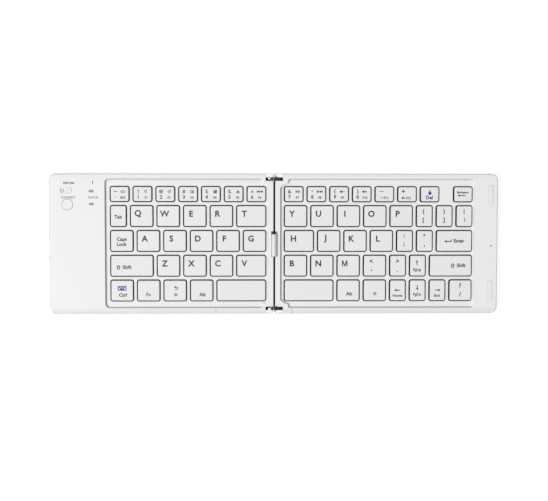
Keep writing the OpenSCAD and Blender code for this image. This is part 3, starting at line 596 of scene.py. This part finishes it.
# The skirts, down in the gaps, are painted dark as shade, from the first depth under the top to
# the second. The painted shade reaches higher on the left sides, and a little higher on the rear.
SKIRT_SHADE = (0.06, 0.06, 0.06)
SKIRT_SHADE_FADE = (0.36, 0.6)
CAP_SHADE_REACH = 0.75
REAR_SHADE_REACH = 0.25
cap_tree = cap_plastic.node_tree
cap_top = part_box("left_space_key")[1].z
cap_shade_reach = combined(cap_tree, "MULTIPLY", written_on(cap_tree, "wall"), CAP_SHADE_REACH * MM)
cap_depth = combined(cap_tree, "SUBTRACT", place_on(cap_tree)["Z"], cap_shade_reach)
skirt_shade_mask = ranged(cap_tree, cap_depth, *[cap_top - below * MM for below in SKIRT_SHADE_FADE])
tinted(cap_tree, skirt_shade_mask, SKIRT_SHADE)


def mark_cap_shade_sides(piece):
    """Writes on each face of the caps how far it faces left, and a little how far to the rear: how
    much higher the painted shade reaches there.
    """
    piece.data.attributes.new("wall", "FLOAT", "FACE").data.foreach_set("value", [
        max(-face.normal.x, REAR_SHADE_REACH * face.normal.y, 0) for face in piece.data.polygons])


KEY_GROUPS = {
    "left_number_keys": "escape 1 2 3 4 5 6",
    "right_number_keys": "7 8 9 0 minus plus delete backspace",
    "left_modifier_keys": "tab caps shift_l ctrl fn system_l alt_l",
    "right_modifier_keys": "enter shift_r alt_r system_r",
    "symbol_and_arrow_keys": "bracket_l bracket_r backslash semicolon quote comma period up "
                             "left down right slash",
}
key_nodes = [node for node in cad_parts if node.startswith("key_")
             or node.endswith(("_keys", "_space_key"))]
cap_boxes = {}
for node in key_nodes:
    boxes = solids_of(node)
    names = KEY_GROUPS.get(node, node.removeprefix("key_")).split()
    cap_boxes[node] = dict(zip(names, boxes))
    spots = [(((low.x + high.x) / 2, (low.y + high.y) / 2, low.z), (*(high - low).xy, 0))
             for low, high in boxes]
    mark_cap_shade_sides(set_on_places(cap_form, (FORM_SIZE * MM, FORM_SIZE * MM, 0), spots,
                                  node + "_caps", node, "key_cap", cap_plastic, node))


# The legends are printed on the caps in dark grey and in two blues, and the words beside the
# controls also in grey. Each is a film of ink with the thickness of pad printing.
INK_TOP = 0.012
INK_SUNK = 0.006
SPECKLE_SCALE = 4000
SAME_INK_POINT = 1e-7
# The height of a capital in a font of size 1
CAPITAL_HEIGHT = 0.682
# How far the strokes are thickened, in shares of the height. Glyphs with narrow corners take less,
# and words lower than SMALL_HEIGHT take more.
LETTER_WEIGHT = 0.046
SMALL_HEIGHT = 2
SMALL_WEIGHT = 0.056
SIGN_WEIGHT = 0.025
FINE_GLYPHS = {"$": 0.008, "#": 0.03, "%": 0.025, "&": 0.03, "8": 0.035, "W": 0.038}


def ink(name, colour, roughness):
    """Printing ink: a flat colour that thins and speckles a little at the edges of its coat."""
    material = bpy.data.materials.new(name)
    material.use_nodes = True
    tree = material.node_tree
    shader = tree.nodes["Principled BSDF"]
    place = tree.nodes.new("ShaderNodeTexCoord").outputs["Object"]
    coat = tree.nodes.new("ShaderNodeMix")
    coat.data_type = "RGBA"
    coat.inputs["A"].default_value = (*colour, 1)
    coat.inputs["B"].default_value = (*[min(1, c * 1.35 + 0.01) for c in colour], 1)
    speckle = noise(tree, place, SPECKLE_SCALE, 3)
    tree.links.new(ranged(tree, speckle, 0.45, 0.75), coat.inputs["Factor"])
    tree.links.new(coat.outputs["Result"], shader.inputs["Base Color"])
    tree.links.new(ranged(tree, speckle, 0.3, 0.7, roughness - 0.08, roughness + 0.08),
                   shader.inputs["Roughness"])
    bump = tree.nodes.new("ShaderNodeBump")
    bump.inputs["Distance"].default_value = 0.002 * MM
    bump.inputs["Strength"].default_value = 0.5
    tree.links.new(speckle, bump.inputs["Height"])
    tree.links.new(bump.outputs["Normal"], shader.inputs["Normal"])
    return material


DARK, BLUE, GREY, PALE_BLUE = 0, 1, 2, 3
inks = [ink("dark_ink", (0.012, 0.012, 0.014), 0.45),
        ink("blue_ink", (0.014, 0.012, 0.24), 0.45),
        ink("grey_ink", (0.2, 0.2, 0.21), 0.5),
        ink("pale_blue_ink", (0.075, 0.07, 0.2), 0.45)]


def arrow(turn):
    """An arrow with a slim head, one unit long, turned counter-clockwise from the left."""
    points = [(-0.5, 0), (-0.1, 0.2), (-0.1, 0.06), (0.5, 0.06), (0.5, -0.06), (-0.1, -0.06),
              (-0.1, -0.2)]
    cos, sin = math.cos(math.radians(turn)), math.sin(math.radians(turn))
    return [[(x * cos - y * sin, x * sin + y * cos) for x, y in points]]


def block(x0, x1, y0, y1):
    """An upright rectangle."""
    return [(x0, y0), (x1, y0), (x1, y1), (x0, y1)]


def wedge(x0, x1):
    """A triangle from its base at x0 to its point at x1."""
    return [(x0, -0.4), (x1, 0), (x0, 0.4)]


def arc(radius, start, end, x=0.0, y=0.0, steps=12):
    """Part of a circle round x and y, from one angle to another in degrees."""
    turns = [math.radians(start + (end - start) * step / steps) for step in range(steps + 1)]
    return [(x + radius * math.cos(t), y + radius * math.sin(t)) for t in turns]


def disc(radius, x=0.0, y=0.0):
    """A whole circle of 24 sides."""
    return arc(radius, 0, 345, x, y, 23)


# Signs are outlines in units of their height. An outline inside another is a hole.
speaker = [(-0.7, -0.22), (-0.42, -0.22), (-0.05, -0.5), (-0.05, 0.5), (-0.42, 0.22), (-0.7, 0.22)]
SIGNS = {
    "left": arrow(0), "down": arrow(90), "right": arrow(180), "up": arrow(270),
    "long_left": [[(-1.1, 0), (-0.6, 0.32), (-0.6, 0.1), (1.1, 0.1), (1.1, -0.1), (-0.6, -0.1),
                   (-0.6, -0.32)]],
    "return": [[(-0.9, 0), (-0.4, 0.35), (-0.4, 0.09), (0.72, 0.09), (0.72, 0.5), (0.9, 0.5),
                (0.9, -0.09), (-0.4, -0.09), (-0.4, -0.35)]],
    "back": [[(-0.3, -0.38), *arc(0.38, -90, 90, 0.15), (-0.15, 0.38), (-0.15, 0.6), (-0.6, 0.3),
              (-0.15, 0), (-0.15, 0.22), *arc(0.22, 90, -90, 0.15), (-0.3, -0.22)]],
    "shift": [[(0, 0.5), (-0.5, 0), (-0.25, 0), (-0.25, -0.5), (0.25, -0.5), (0.25, 0), (0.5, 0)],
              [(0, 0.31), (0.25, 0.1), (0.12, 0.1), (0.12, -0.38), (-0.12, -0.38), (-0.12, 0.1),
               (-0.25, 0.1)]],
    "home": [[(0, 0.5), (-0.8, -0.05), (-0.5, -0.05), (-0.5, -0.42), (0.5, -0.42), (0.5, -0.05),
              (0.8, -0.05)],
             [(0, 0.32), (0.36, 0.06), (0.36, -0.3), (-0.36, -0.3), (-0.36, 0.06)]],
    "search": [disc(0.38, -0.08, 0.12), disc(0.26, -0.08, 0.12),
               [(0.12, -0.2), (0.22, -0.1), (0.52, -0.4), (0.42, -0.5)]],
    "tick": [disc(0.5), disc(0.4),
             [(-0.26, 0.02), (-0.06, -0.24), (0.27, 0.18), (0.2, 0.26), (-0.07, -0.08),
              (-0.18, 0.08)]],
    "copy": [block(-0.5, 0.5, -0.5, 0.5), block(-0.39, 0.39, -0.39, 0.39), disc(0.26, 0.12, -0.12)],
    "panel": [block(-0.5, 0.5, -0.5, 0.5), block(-0.36, -0.02, 0.1, 0.38),
              block(0.12, 0.38, 0.22, 0.38)],
    "hill": [[(-0.1, 0.5), (-0.48, -0.15), (0.42, -0.15)], block(-0.5, 0.5, -0.48, -0.28)],
    "before": [wedge(0.02, -0.7), wedge(0.9, 0.12), block(-0.9, -0.74, -0.4, 0.4)],
    "after": [wedge(-0.02, 0.7), wedge(-0.9, -0.12), block(0.74, 0.9, -0.4, 0.4)],
    "play": [wedge(-0.6, 0.05), block(0.14, 0.3, -0.4, 0.4), block(0.42, 0.58, -0.4, 0.4)],
    "quiet": [speaker, block(0.15, 0.7, -0.08, 0.08)],
    "loud": [speaker, [(0.14, -0.08), (0.34, -0.08), (0.34, -0.28), (0.5, -0.28), (0.5, -0.08),
                       (0.7, -0.08), (0.7, 0.08), (0.5, 0.08), (0.5, 0.28), (0.34, 0.28),
                       (0.34, 0.08), (0.14, 0.08)]],
    "drop": [disc(0.36, 0, -0.14), block(-0.13, 0.13, 0.28, 0.5)],
    "keyboard": [block(-0.95, 0.95, -0.5, 0.5), block(-0.82, 0.82, -0.37, 0.37),
                 block(-0.5, 0.5, -0.3, -0.04), block(-0.66, -0.36, 0.08, 0.28),
                 block(-0.15, 0.15, 0.08, 0.28), block(0.36, 0.66, 0.08, 0.28)],
    "diamond": [[(0, 0.5), (0.5, 0), (0, -0.5), (-0.5, 0)],
                [(0, 0.28), (-0.28, 0), (0, -0.28), (0.28, 0)]],
    "@": [disc(0.55), disc(0.42), disc(0.26), disc(0.12)],
    "M": [[(-0.46, -0.5), (-0.46, 0.5), (-0.29, 0.5), (0, -0.27), (0.29, 0.5), (0.46, 0.5),
           (0.46, -0.5), (0.33, -0.5), (0.33, 0.29), (0.06, -0.5), (-0.06, -0.5), (-0.33, 0.29),
           (-0.33, -0.5)]],
    "bar": [block(-0.1, 0.1, -0.5, 0.5)], "dash": [block(-0.6, 0.6, -0.04, 0.04)],
    "slit": [block(-0.5, 0.5, -0.14, 0.14)],
}


def ink_film(mark, height, place):
    """The film of one mark, centred on a place on the surface and a little sunk into it."""
    if mark in SIGNS:
        curve = bpy.data.curves.new("sign", "CURVE")
        curve.dimensions = "2D"
        curve.fill_mode = "BOTH"
        curve.offset = SIGN_WEIGHT * height * MM
        for outline in SIGNS[mark]:
            spline = curve.splines.new("POLY")
            spline.points.add(len(outline) - 1)
            spline.use_cyclic_u = True
            for point, (x, y) in zip(spline.points, outline):
                point.co = (x * height * MM, y * height * MM, 0, 1)
    else:
        curve = bpy.data.curves.new("letters", "FONT")
        curve.body = mark
        curve.size = height * MM / CAPITAL_HEIGHT
        usual = SMALL_WEIGHT if height < SMALL_HEIGHT else LETTER_WEIGHT
        curve.offset = FINE_GLYPHS.get(mark, usual) * height * MM
        curve.resolution_u = 3
    curve.extrude = (INK_TOP + INK_SUNK) / 2 * MM
    owner = bpy.data.objects.new("mark", curve)
    scene.collection.objects.link(owner)
    made = owner.evaluated_get(bpy.context.evaluated_depsgraph_get())
    mesh = bpy.data.meshes.new_from_object(made)
    bpy.data.objects.remove(owner)
    axes = list(zip(*(v.co for v in mesh.vertices)))
    middle = Vector([(min(axis) + max(axis)) / 2 for axis in axes[:2]] + [0])
    lift = Vector((0, 0, (INK_TOP - INK_SUNK) / 2 * MM))
    mesh.transform(Matrix.Translation(Vector(place) - middle + lift))
    return mesh


def printed(name, marks, body):
    """All the marks on one body as one piece. A mark is its sign, height, ink and place."""
    form = bmesh.new()
    for mark, height, colour, place in marks:
        film = ink_film(mark, height, place)
        first = len(form.faces)
        form.from_mesh(film)
        form.faces.ensure_lookup_table()
        for face in form.faces[first:]:
            face.material_index = colour
            face.smooth = False
        bpy.data.meshes.remove(film)
    bmesh.ops.remove_doubles(form, verts=form.verts, dist=SAME_INK_POINT)
    bmesh.ops.recalc_face_normals(form, faces=form.faces)
    mesh = bpy.data.meshes.new(name)
    form.to_mesh(mesh)
    form.free()
    for each in inks:
        mesh.materials.append(each)
    return hung(mesh, name, body)


LETTER_HEIGHT, LETTER_UP = 3.85, 1.6
LETTER_RIGHT, WIDE_LETTER_RIGHT = 4.9, 5.9
WORD, MOVE_WORD, SMALL_WORD = 2.3, 1.8, 1.55
# The number row carries two dark signs at the left, and a blue icon over a blue word at the right.
# The last number is how far to the right of their column the blue ones stand.
SIGN_COLUMN, ICON_COLUMN = -2.85, 2.5
UPPER_ROW, LOWER_ROW, WORD_ROW = 1.7, -1.95, -2.4
NUMBER_LEGENDS = {
    "escape": ("~", "`", "home", "ESC", -0.3), "1": ("!", "1", "search", "F1", -0.2),
    "2": ("@", "2", "tick", "F2", 0.25), "3": ("#", "3", "copy", "F3", 0.2),
    "4": ("$", "4", "panel", "F4", 0.4), "5": ("%", "5", "hill", "F5", 0.5),
    "6": ("^", "6", "before", "F6", -0.3), "7": ("&", "7", "play", "F7", 0.1),
    "8": ("*", "8", "after", "F8", -0.25), "9": ("(", "9", "quiet", "F9", -0.4),
    "0": (")", "0", "loud", "F10", -0.6),
}
UPPER_HEIGHT, LOWER_HEIGHT, ICON_HEIGHT = 2.4, 2.3, 2.2
BRIGHT_ICON_KEYS = "67890"
# The other legends are given from the middle of their key: sign, right, up, height and ink
LEGENDS = {
    "minus": [("dash", -2.05, 1.85, 2.6, DARK), ("-", -2.2, -2.4, 2.6, DARK),
              ("F11", 0.9, -2.5, SMALL_WORD, DARK)],
    "plus": [("+", -2.6, 1.95, 2.8, DARK), ("=", -2.7, -2.5, 2.6, DARK),
             ("F12", 0.9, -2.6, SMALL_WORD, DARK)],
    "delete": [("drop", 0.1, 1.1, 2.9, BLUE), ("Del", -0.2, -2.2, WORD, DARK)],
    "backspace": [("Backspace", -0.2, 1.15, 1.3, DARK), ("long_left", -1.05, -0.9, 2.4, DARK)],
    "tab": [("Tab", -0.1, -0.6, WORD, DARK)],
    "caps": [("Caps", 0.05, 0.9, WORD, DARK), ("Lock", 0.05, -2.2, WORD, DARK)],
    "shift_l": [("shift", -9.1, -0.9, 3, DARK), ("Shift", -3.3, -0.9, WORD, DARK)],
    "ctrl": [("keyboard", 0, 1.55, 3, BLUE), ("Ctrl", 0.5, -2.95, WORD, DARK)],
    "fn": [("Fn", -0.1, -2.65, WORD, PALE_BLUE)],
    "system_l": [("back", 0.6, 1.95, 2.4, BLUE), ("diamond", 0.4, -2.85, 2.4, DARK)],
    "alt_l": [("Alt", 0.5, -2.7, WORD, DARK)],
    "alt_r": [("Alt", 0.65, -2.25, WORD, DARK)],
    "system_r": [("diamond", 0.25, -2.2, 2.4, DARK)],
    "bracket_l": [("{", -0.7, 3.1, 2.6, DARK), ("[", -0.65, -2.8, 2.6, DARK)],
    "bracket_r": [("}", -0.15, 3.15, 2.6, DARK), ("]", -0.25, -2.8, 2.6, DARK)],
    "backslash": [("|", -0.1, 3.15, 2.6, DARK), ("\\", 0.35, -2.4, 2.6, DARK)],
    "semicolon": [(":", -0.3, 3.4, 3, DARK), (";", -0.4, -2.4, 3, DARK)],
    "quote": [("\"", -0.15, 3.9, 2.8, DARK), ("'", 0, -3.4, 2.8, DARK)],
    "enter": [("return", -4.2, -0.15, 2.6, DARK), ("Enter", 3.4, 0.1, WORD, DARK)],
    "comma": [("<", -2.4, 3.15, 2.8, DARK), (",", -2.15, -3.25, 2.8, DARK)],
    "period": [(">", -0.1, 3.2, 2.8, DARK), (".", -0.15, -4, 2.8, DARK)],
    "up": [("up", -0.4, 2.1, 3.4, DARK), ("PgUp", -0.25, -3, MOVE_WORD, PALE_BLUE)],
    "shift_r": [("shift", 1.5, 0.2, 3, DARK), ("Shift", 7.3, 0.2, WORD, DARK)],
    "left": [("left", -0.4, 0.1, 3.7, DARK), ("Home", -0.05, -3.5, MOVE_WORD, PALE_BLUE)],
    "down": [("down", -0.05, 1.7, 3.4, DARK), ("PgDn", -0.1, -3, MOVE_WORD, PALE_BLUE)],
    "right": [("right", 0.5, 0.2, 3.6, DARK), ("End", -0.25, -3.5, MOVE_WORD, PALE_BLUE)],
    "slash": [("?", -0.1, 3.4, 3, DARK), ("/", -0.1, -2.75, 2.8, DARK)],
}


def marks_of(key, box):
    """What is printed on one key: sign, height, ink and place on its top."""
    low, high = box
    middle = (low + high) / 2
    if key in NUMBER_LEGENDS:
        upper, lower, icon, word, shift = NUMBER_LEGENDS[key]
        icon_ink = BLUE if key in BRIGHT_ICON_KEYS else PALE_BLUE
        legend = [(upper, SIGN_COLUMN, UPPER_ROW, UPPER_HEIGHT, DARK),
                  (lower, SIGN_COLUMN, LOWER_ROW, LOWER_HEIGHT, DARK),
                  (icon, ICON_COLUMN + shift, UPPER_ROW, ICON_HEIGHT, icon_ink),
                  (word, ICON_COLUMN + shift / 2, WORD_ROW, SMALL_WORD, PALE_BLUE)]
    elif len(key) == 1:
        right = low.x / MM - middle.x / MM + (WIDE_LETTER_RIGHT if key == "h" else LETTER_RIGHT)
        legend = [(key.upper(), right, LETTER_UP, LETTER_HEIGHT, DARK)]
    else:
        legend = LEGENDS.get(key, [])
    return [(sign, height, colour, (middle.x + right * MM, middle.y + up * MM, high.z))
            for sign, right, up, height, colour in legend]


for node, caps in cap_boxes.items():
    marks = [mark for key, box in caps.items() for mark in marks_of(key, box)]
    if marks:
        printed(node + "_print", marks, node)


# Under the caps lie a rolled steel plate, a printed circuit film, rubber domes and scissor frames.
# They show only as dark lines through the gaps, and when a half is opened.
def metal(name, colour, roughness, streak=(1, 1, 1), streak_size=0.4, depth=0.002):
    """Bare or plated metal, with rolling or drawing marks stretched along an axis."""
    material = bpy.data.materials.new(name)
    material.use_nodes = True
    tree = material.node_tree
    shader = tree.nodes["Principled BSDF"]
    shader.inputs["Metallic"].default_value = 1
    shader.inputs["Base Color"].default_value = (*colour, 1)
    mapping = tree.nodes.new("ShaderNodeMapping")
    mapping.inputs["Scale"].default_value = streak
    tree.links.new(tree.nodes.new("ShaderNodeTexCoord").outputs["Object"], mapping.inputs["Vector"])
    marks = noise(tree, mapping.outputs["Vector"], 1 / (streak_size * MM), 4)
    tree.links.new(ranged(tree, marks, 0.3, 0.7, roughness * 0.8, roughness * 1.25),
                   shader.inputs["Roughness"])
    worn = tree.nodes.new("ShaderNodeGroup")
    worn.node_tree = wear
    shade = tree.nodes.new("ShaderNodeMix")
    shade.data_type = "RGBA"
    shade.inputs["A"].default_value = (*colour, 1)
    shade.inputs["B"].default_value = (*[min(1, c * 1.4 + 0.03) for c in colour], 1)
    tree.links.new(worn.outputs["Rubbed"], shade.inputs["Factor"])
    tree.links.new(shade.outputs["Result"], shader.inputs["Base Color"])
    bump = tree.nodes.new("ShaderNodeBump")
    bump.inputs["Distance"].default_value = depth * MM
    bump.inputs["Strength"].default_value = 0.4
    tree.links.new(marks, bump.inputs["Height"])
    tree.links.new(bump.outputs["Normal"], shader.inputs["Normal"])
    return material


def dressed(node, material):
    """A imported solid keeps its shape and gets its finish."""
    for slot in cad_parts[node].material_slots:
        slot.material = material


def under_caps(kind, half, slot, material):
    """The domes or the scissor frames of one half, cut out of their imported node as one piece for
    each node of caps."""
    node = f"{half}_{kind}"
    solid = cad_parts[node].data
    spans = [(name, low, high) for name, caps in cap_boxes.items() for low, high in caps.values()]
    faces_under = {}
    for face in solid.polygons:
        at = face.center
        name = next(name for name, low, high in spans
                    if low.x < at.x < high.x and low.y < at.y < high.y)
        faces_under.setdefault(name, []).append(face.vertices[:])
    for name, faces in faces_under.items():
        used = sorted({vert for face in faces for vert in face})
        number = {vert: count for count, vert in enumerate(used)}
        mesh = bpy.data.meshes.new(f"{name}_{kind}")
        mesh.from_pydata([solid.vertices[vert].co for vert in used], [],
                         [[number[vert] for vert in face] for face in faces])
        mesh.materials.append(material)
        piece = hung(mesh, f"{name}_{kind}", half + "_half", slot, node)
        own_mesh(piece)


FILM_BLACK = (0.02, 0.024, 0.024)
TRACK_GREY = (0.09, 0.09, 0.085)
film = plastic("printed_film", FILM_BLACK, 0.3, grain_size=1.5)
film_tree = film.node_tree
tracks = film_tree.nodes.new("ShaderNodeTexBrick")
for label, number in (("Scale", 1), ("Mortar Size", 0.3 * MM), ("Mortar Smooth", 0.1),
                      ("Brick Width", 18 * MM), ("Row Height", 8.5 * MM)):
    tracks.inputs[label].default_value = number
for label, colour in (("Color1", FILM_BLACK), ("Color2", FILM_BLACK), ("Mortar", TRACK_GREY)):
    tracks.inputs[label].default_value = (*colour, 1)
film_tree.links.new(film_tree.nodes.new("ShaderNodeTexCoord").outputs["Object"],
                    tracks.inputs["Vector"])
film_tree.links.new(tracks.outputs["Color"],
                    film_tree.nodes["Principled BSDF"].inputs["Base Color"])
plate_steel = metal("rolled_steel", (0.5, 0.51, 0.53), 0.35, streak=(0.05, 1, 1))
dome_rubber = plastic("dome_rubber", (0.6, 0.6, 0.57), 0.6, grain_size=0.3, dust_and_shade=0.1)
scissor_plastic = plastic("scissor_plastic", (0.45, 0.45, 0.46), 0.45, dust_and_shade=0.1)
for side in ("left", "right"):
    dressed(side + "_key_plate", plate_steel)
    dressed(side + "_membrane", film)
    under_caps("domes", side, "dome_rubber", dome_rubber)
    under_caps("scissors", side, "scissor_plastic", scissor_plastic)

# The hinge leaves are pressed from steel and plated black, and turn on two pins. The barrel in the
# middle of the fold line is a light grey moulding over the lead between the halves.
hinge_steel = metal("black_plating", (0.035, 0.035, 0.038), 0.22, streak_size=0.15)
for side in ("left", "right"):
    softened(side + "_hinge_leaves", side + "_half", "hinge_steel", hinge_steel, 0.12)
# A polished rivet holds each leaf of the left half. Its head is a low dome.
RIVET_RADIUS, RIVET_RISE, RIVET_SHANK = 0.55, 0.12, 0.3
RIVET_X, RIVET_Y, LEAF_TOP = -3.3, 44.4, 6.4
rivet_levels = [(0, -RIVET_SHANK), (0, 0), (0.1, RIVET_RISE * 0.6), (0.28, RIVET_RISE),
                (0.5, RIVET_RISE * 1.15)]
rivet_form = on_stage_as_form("rivet_form", loft(
    "rivet_form", 2 * RIVET_RADIUS, 2 * RIVET_RADIUS, RIVET_RADIUS, rivet_levels))
rivet_size = (2 * RIVET_RADIUS * MM, 2 * RIVET_RADIUS * MM, 0)
set_on_places(
    rivet_form, rivet_size,
    [((RIVET_X * MM, y * MM, LEAF_TOP * MM), rivet_size) for y in (RIVET_Y, -RIVET_Y)],
    "leaf_rivets", "left_half", "hinge_steel", metal("rivet_steel", (0.85, 0.85, 0.87), 0.2))
dressed("hinge_pins", metal("pin_steel", (0.3, 0.3, 0.31), 0.25, streak=(1, 0.1, 1)))
softened("hinge_barrel", "left_half", "barrel_plastic",
         plastic("barrel_moulding", (0.66, 0.66, 0.67), 0.6), 0.1)

# A dark strip lies under the fold line so that the gap reads black from above: a dark sheet that
# stands in for shade. It lies along the left base.
STRIP_WIDTH, STRIP_LENGTH, STRIP_THICKNESS, STRIP_EDGE = 1.2, 84, 0.6, 0.1
STRIP_X, STRIP_FOOT = -0.06, 2.4
strip_levels = [(STRIP_EDGE, 0), (0, STRIP_EDGE), (0, STRIP_THICKNESS - STRIP_EDGE),
                (STRIP_EDGE, STRIP_THICKNESS)]
fold_shade_strip_mesh = loft("fold_strip", STRIP_WIDTH, STRIP_LENGTH, 0.3, strip_levels)
fold_shade_strip_mesh.transform(Matrix.Translation((STRIP_X * MM, 0, STRIP_FOOT * MM)))
fold_shade_strip_mesh.materials.append(plastic("fold_shade_black", (0.012, 0.012, 0.013), 0.8, grain_size=0.3))
hung(fold_shade_strip_mesh, "fold_strip", "left_half", "foot_rubber")

# The controls stand in the wide strip of the left half: a slide switch in its pocket, a round
# button, and the windows of two lamps, with small words printed beside them.
control_plastic = plastic("gloss_white_moulding", (0.8, 0.8, 0.81), 0.28, grain_depth=0.001)
softened("power_switch", "power_switch", "switch_plastic", control_plastic, 0.08)
softened("connect_button", "connect_button", "switch_plastic", control_plastic, 0.06)
dressed("lamp_windows", plastic("milky_window", (0.4, 0.41, 0.42), 0.2, Transmission_Weight=0.2))
rim_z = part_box("left_cover")[1].z
control_marks = [(word, height, colour, (x * MM, y * MM, rim_z)) for word, height, colour, x, y in (
    ("OFF·ON", 1.45, DARK, -138.95, 41.2), ("CONNECT", 1.35, GREY, -139.1, 31.5),
    ("bar", 2.1, DARK, -122.75, 41.7), ("STATUS", 1.35, GREY, -122.5, 31.5))]
printed("control_lettering", control_marks, "left_half")
# A small blind slot in the right strip is dark inside
SLOT_FLOOR = (148 * MM, -1.3 * MM, 6.7 * MM)
printed("slot_floor", [("slit", 1.6, DARK, SLOT_FLOOR)], "right_half")

# Inside the wide strip are a green circuit board, a foil battery and a plated charging socket
dressed("control_board", plastic("solder_mask", (0.03, 0.16, 0.08), 0.3, grain_size=1))
dressed("battery", metal("foil_pouch", (0.7, 0.71, 0.73), 0.35, streak_size=3, depth=0.05))
dressed("charge_port", metal("plated_shell", (0.6, 0.61, 0.63), 0.25))

# Two soft capsules on the right strip keep the closed halves apart, and eight rubber feet and
# twelve screws are under the bases.
dressed("closing_bumpers", plastic("bumper_rubber", (0.76, 0.76, 0.77), 0.6, dust_and_shade=0.04))
foot_rubber = plastic("foot_rubber", (0.42, 0.42, 0.43), 0.75, dust_and_shade=0.15)
screw_steel = metal("nickel_plating", (0.55, 0.55, 0.57), 0.3)
for side in ("left", "right"):
    dressed(side + "_feet", foot_rubber)
    dressed(side + "_screws", screw_steel)

for form in (cap_form, rivet_form):
    bpy.data.objects.remove(form)
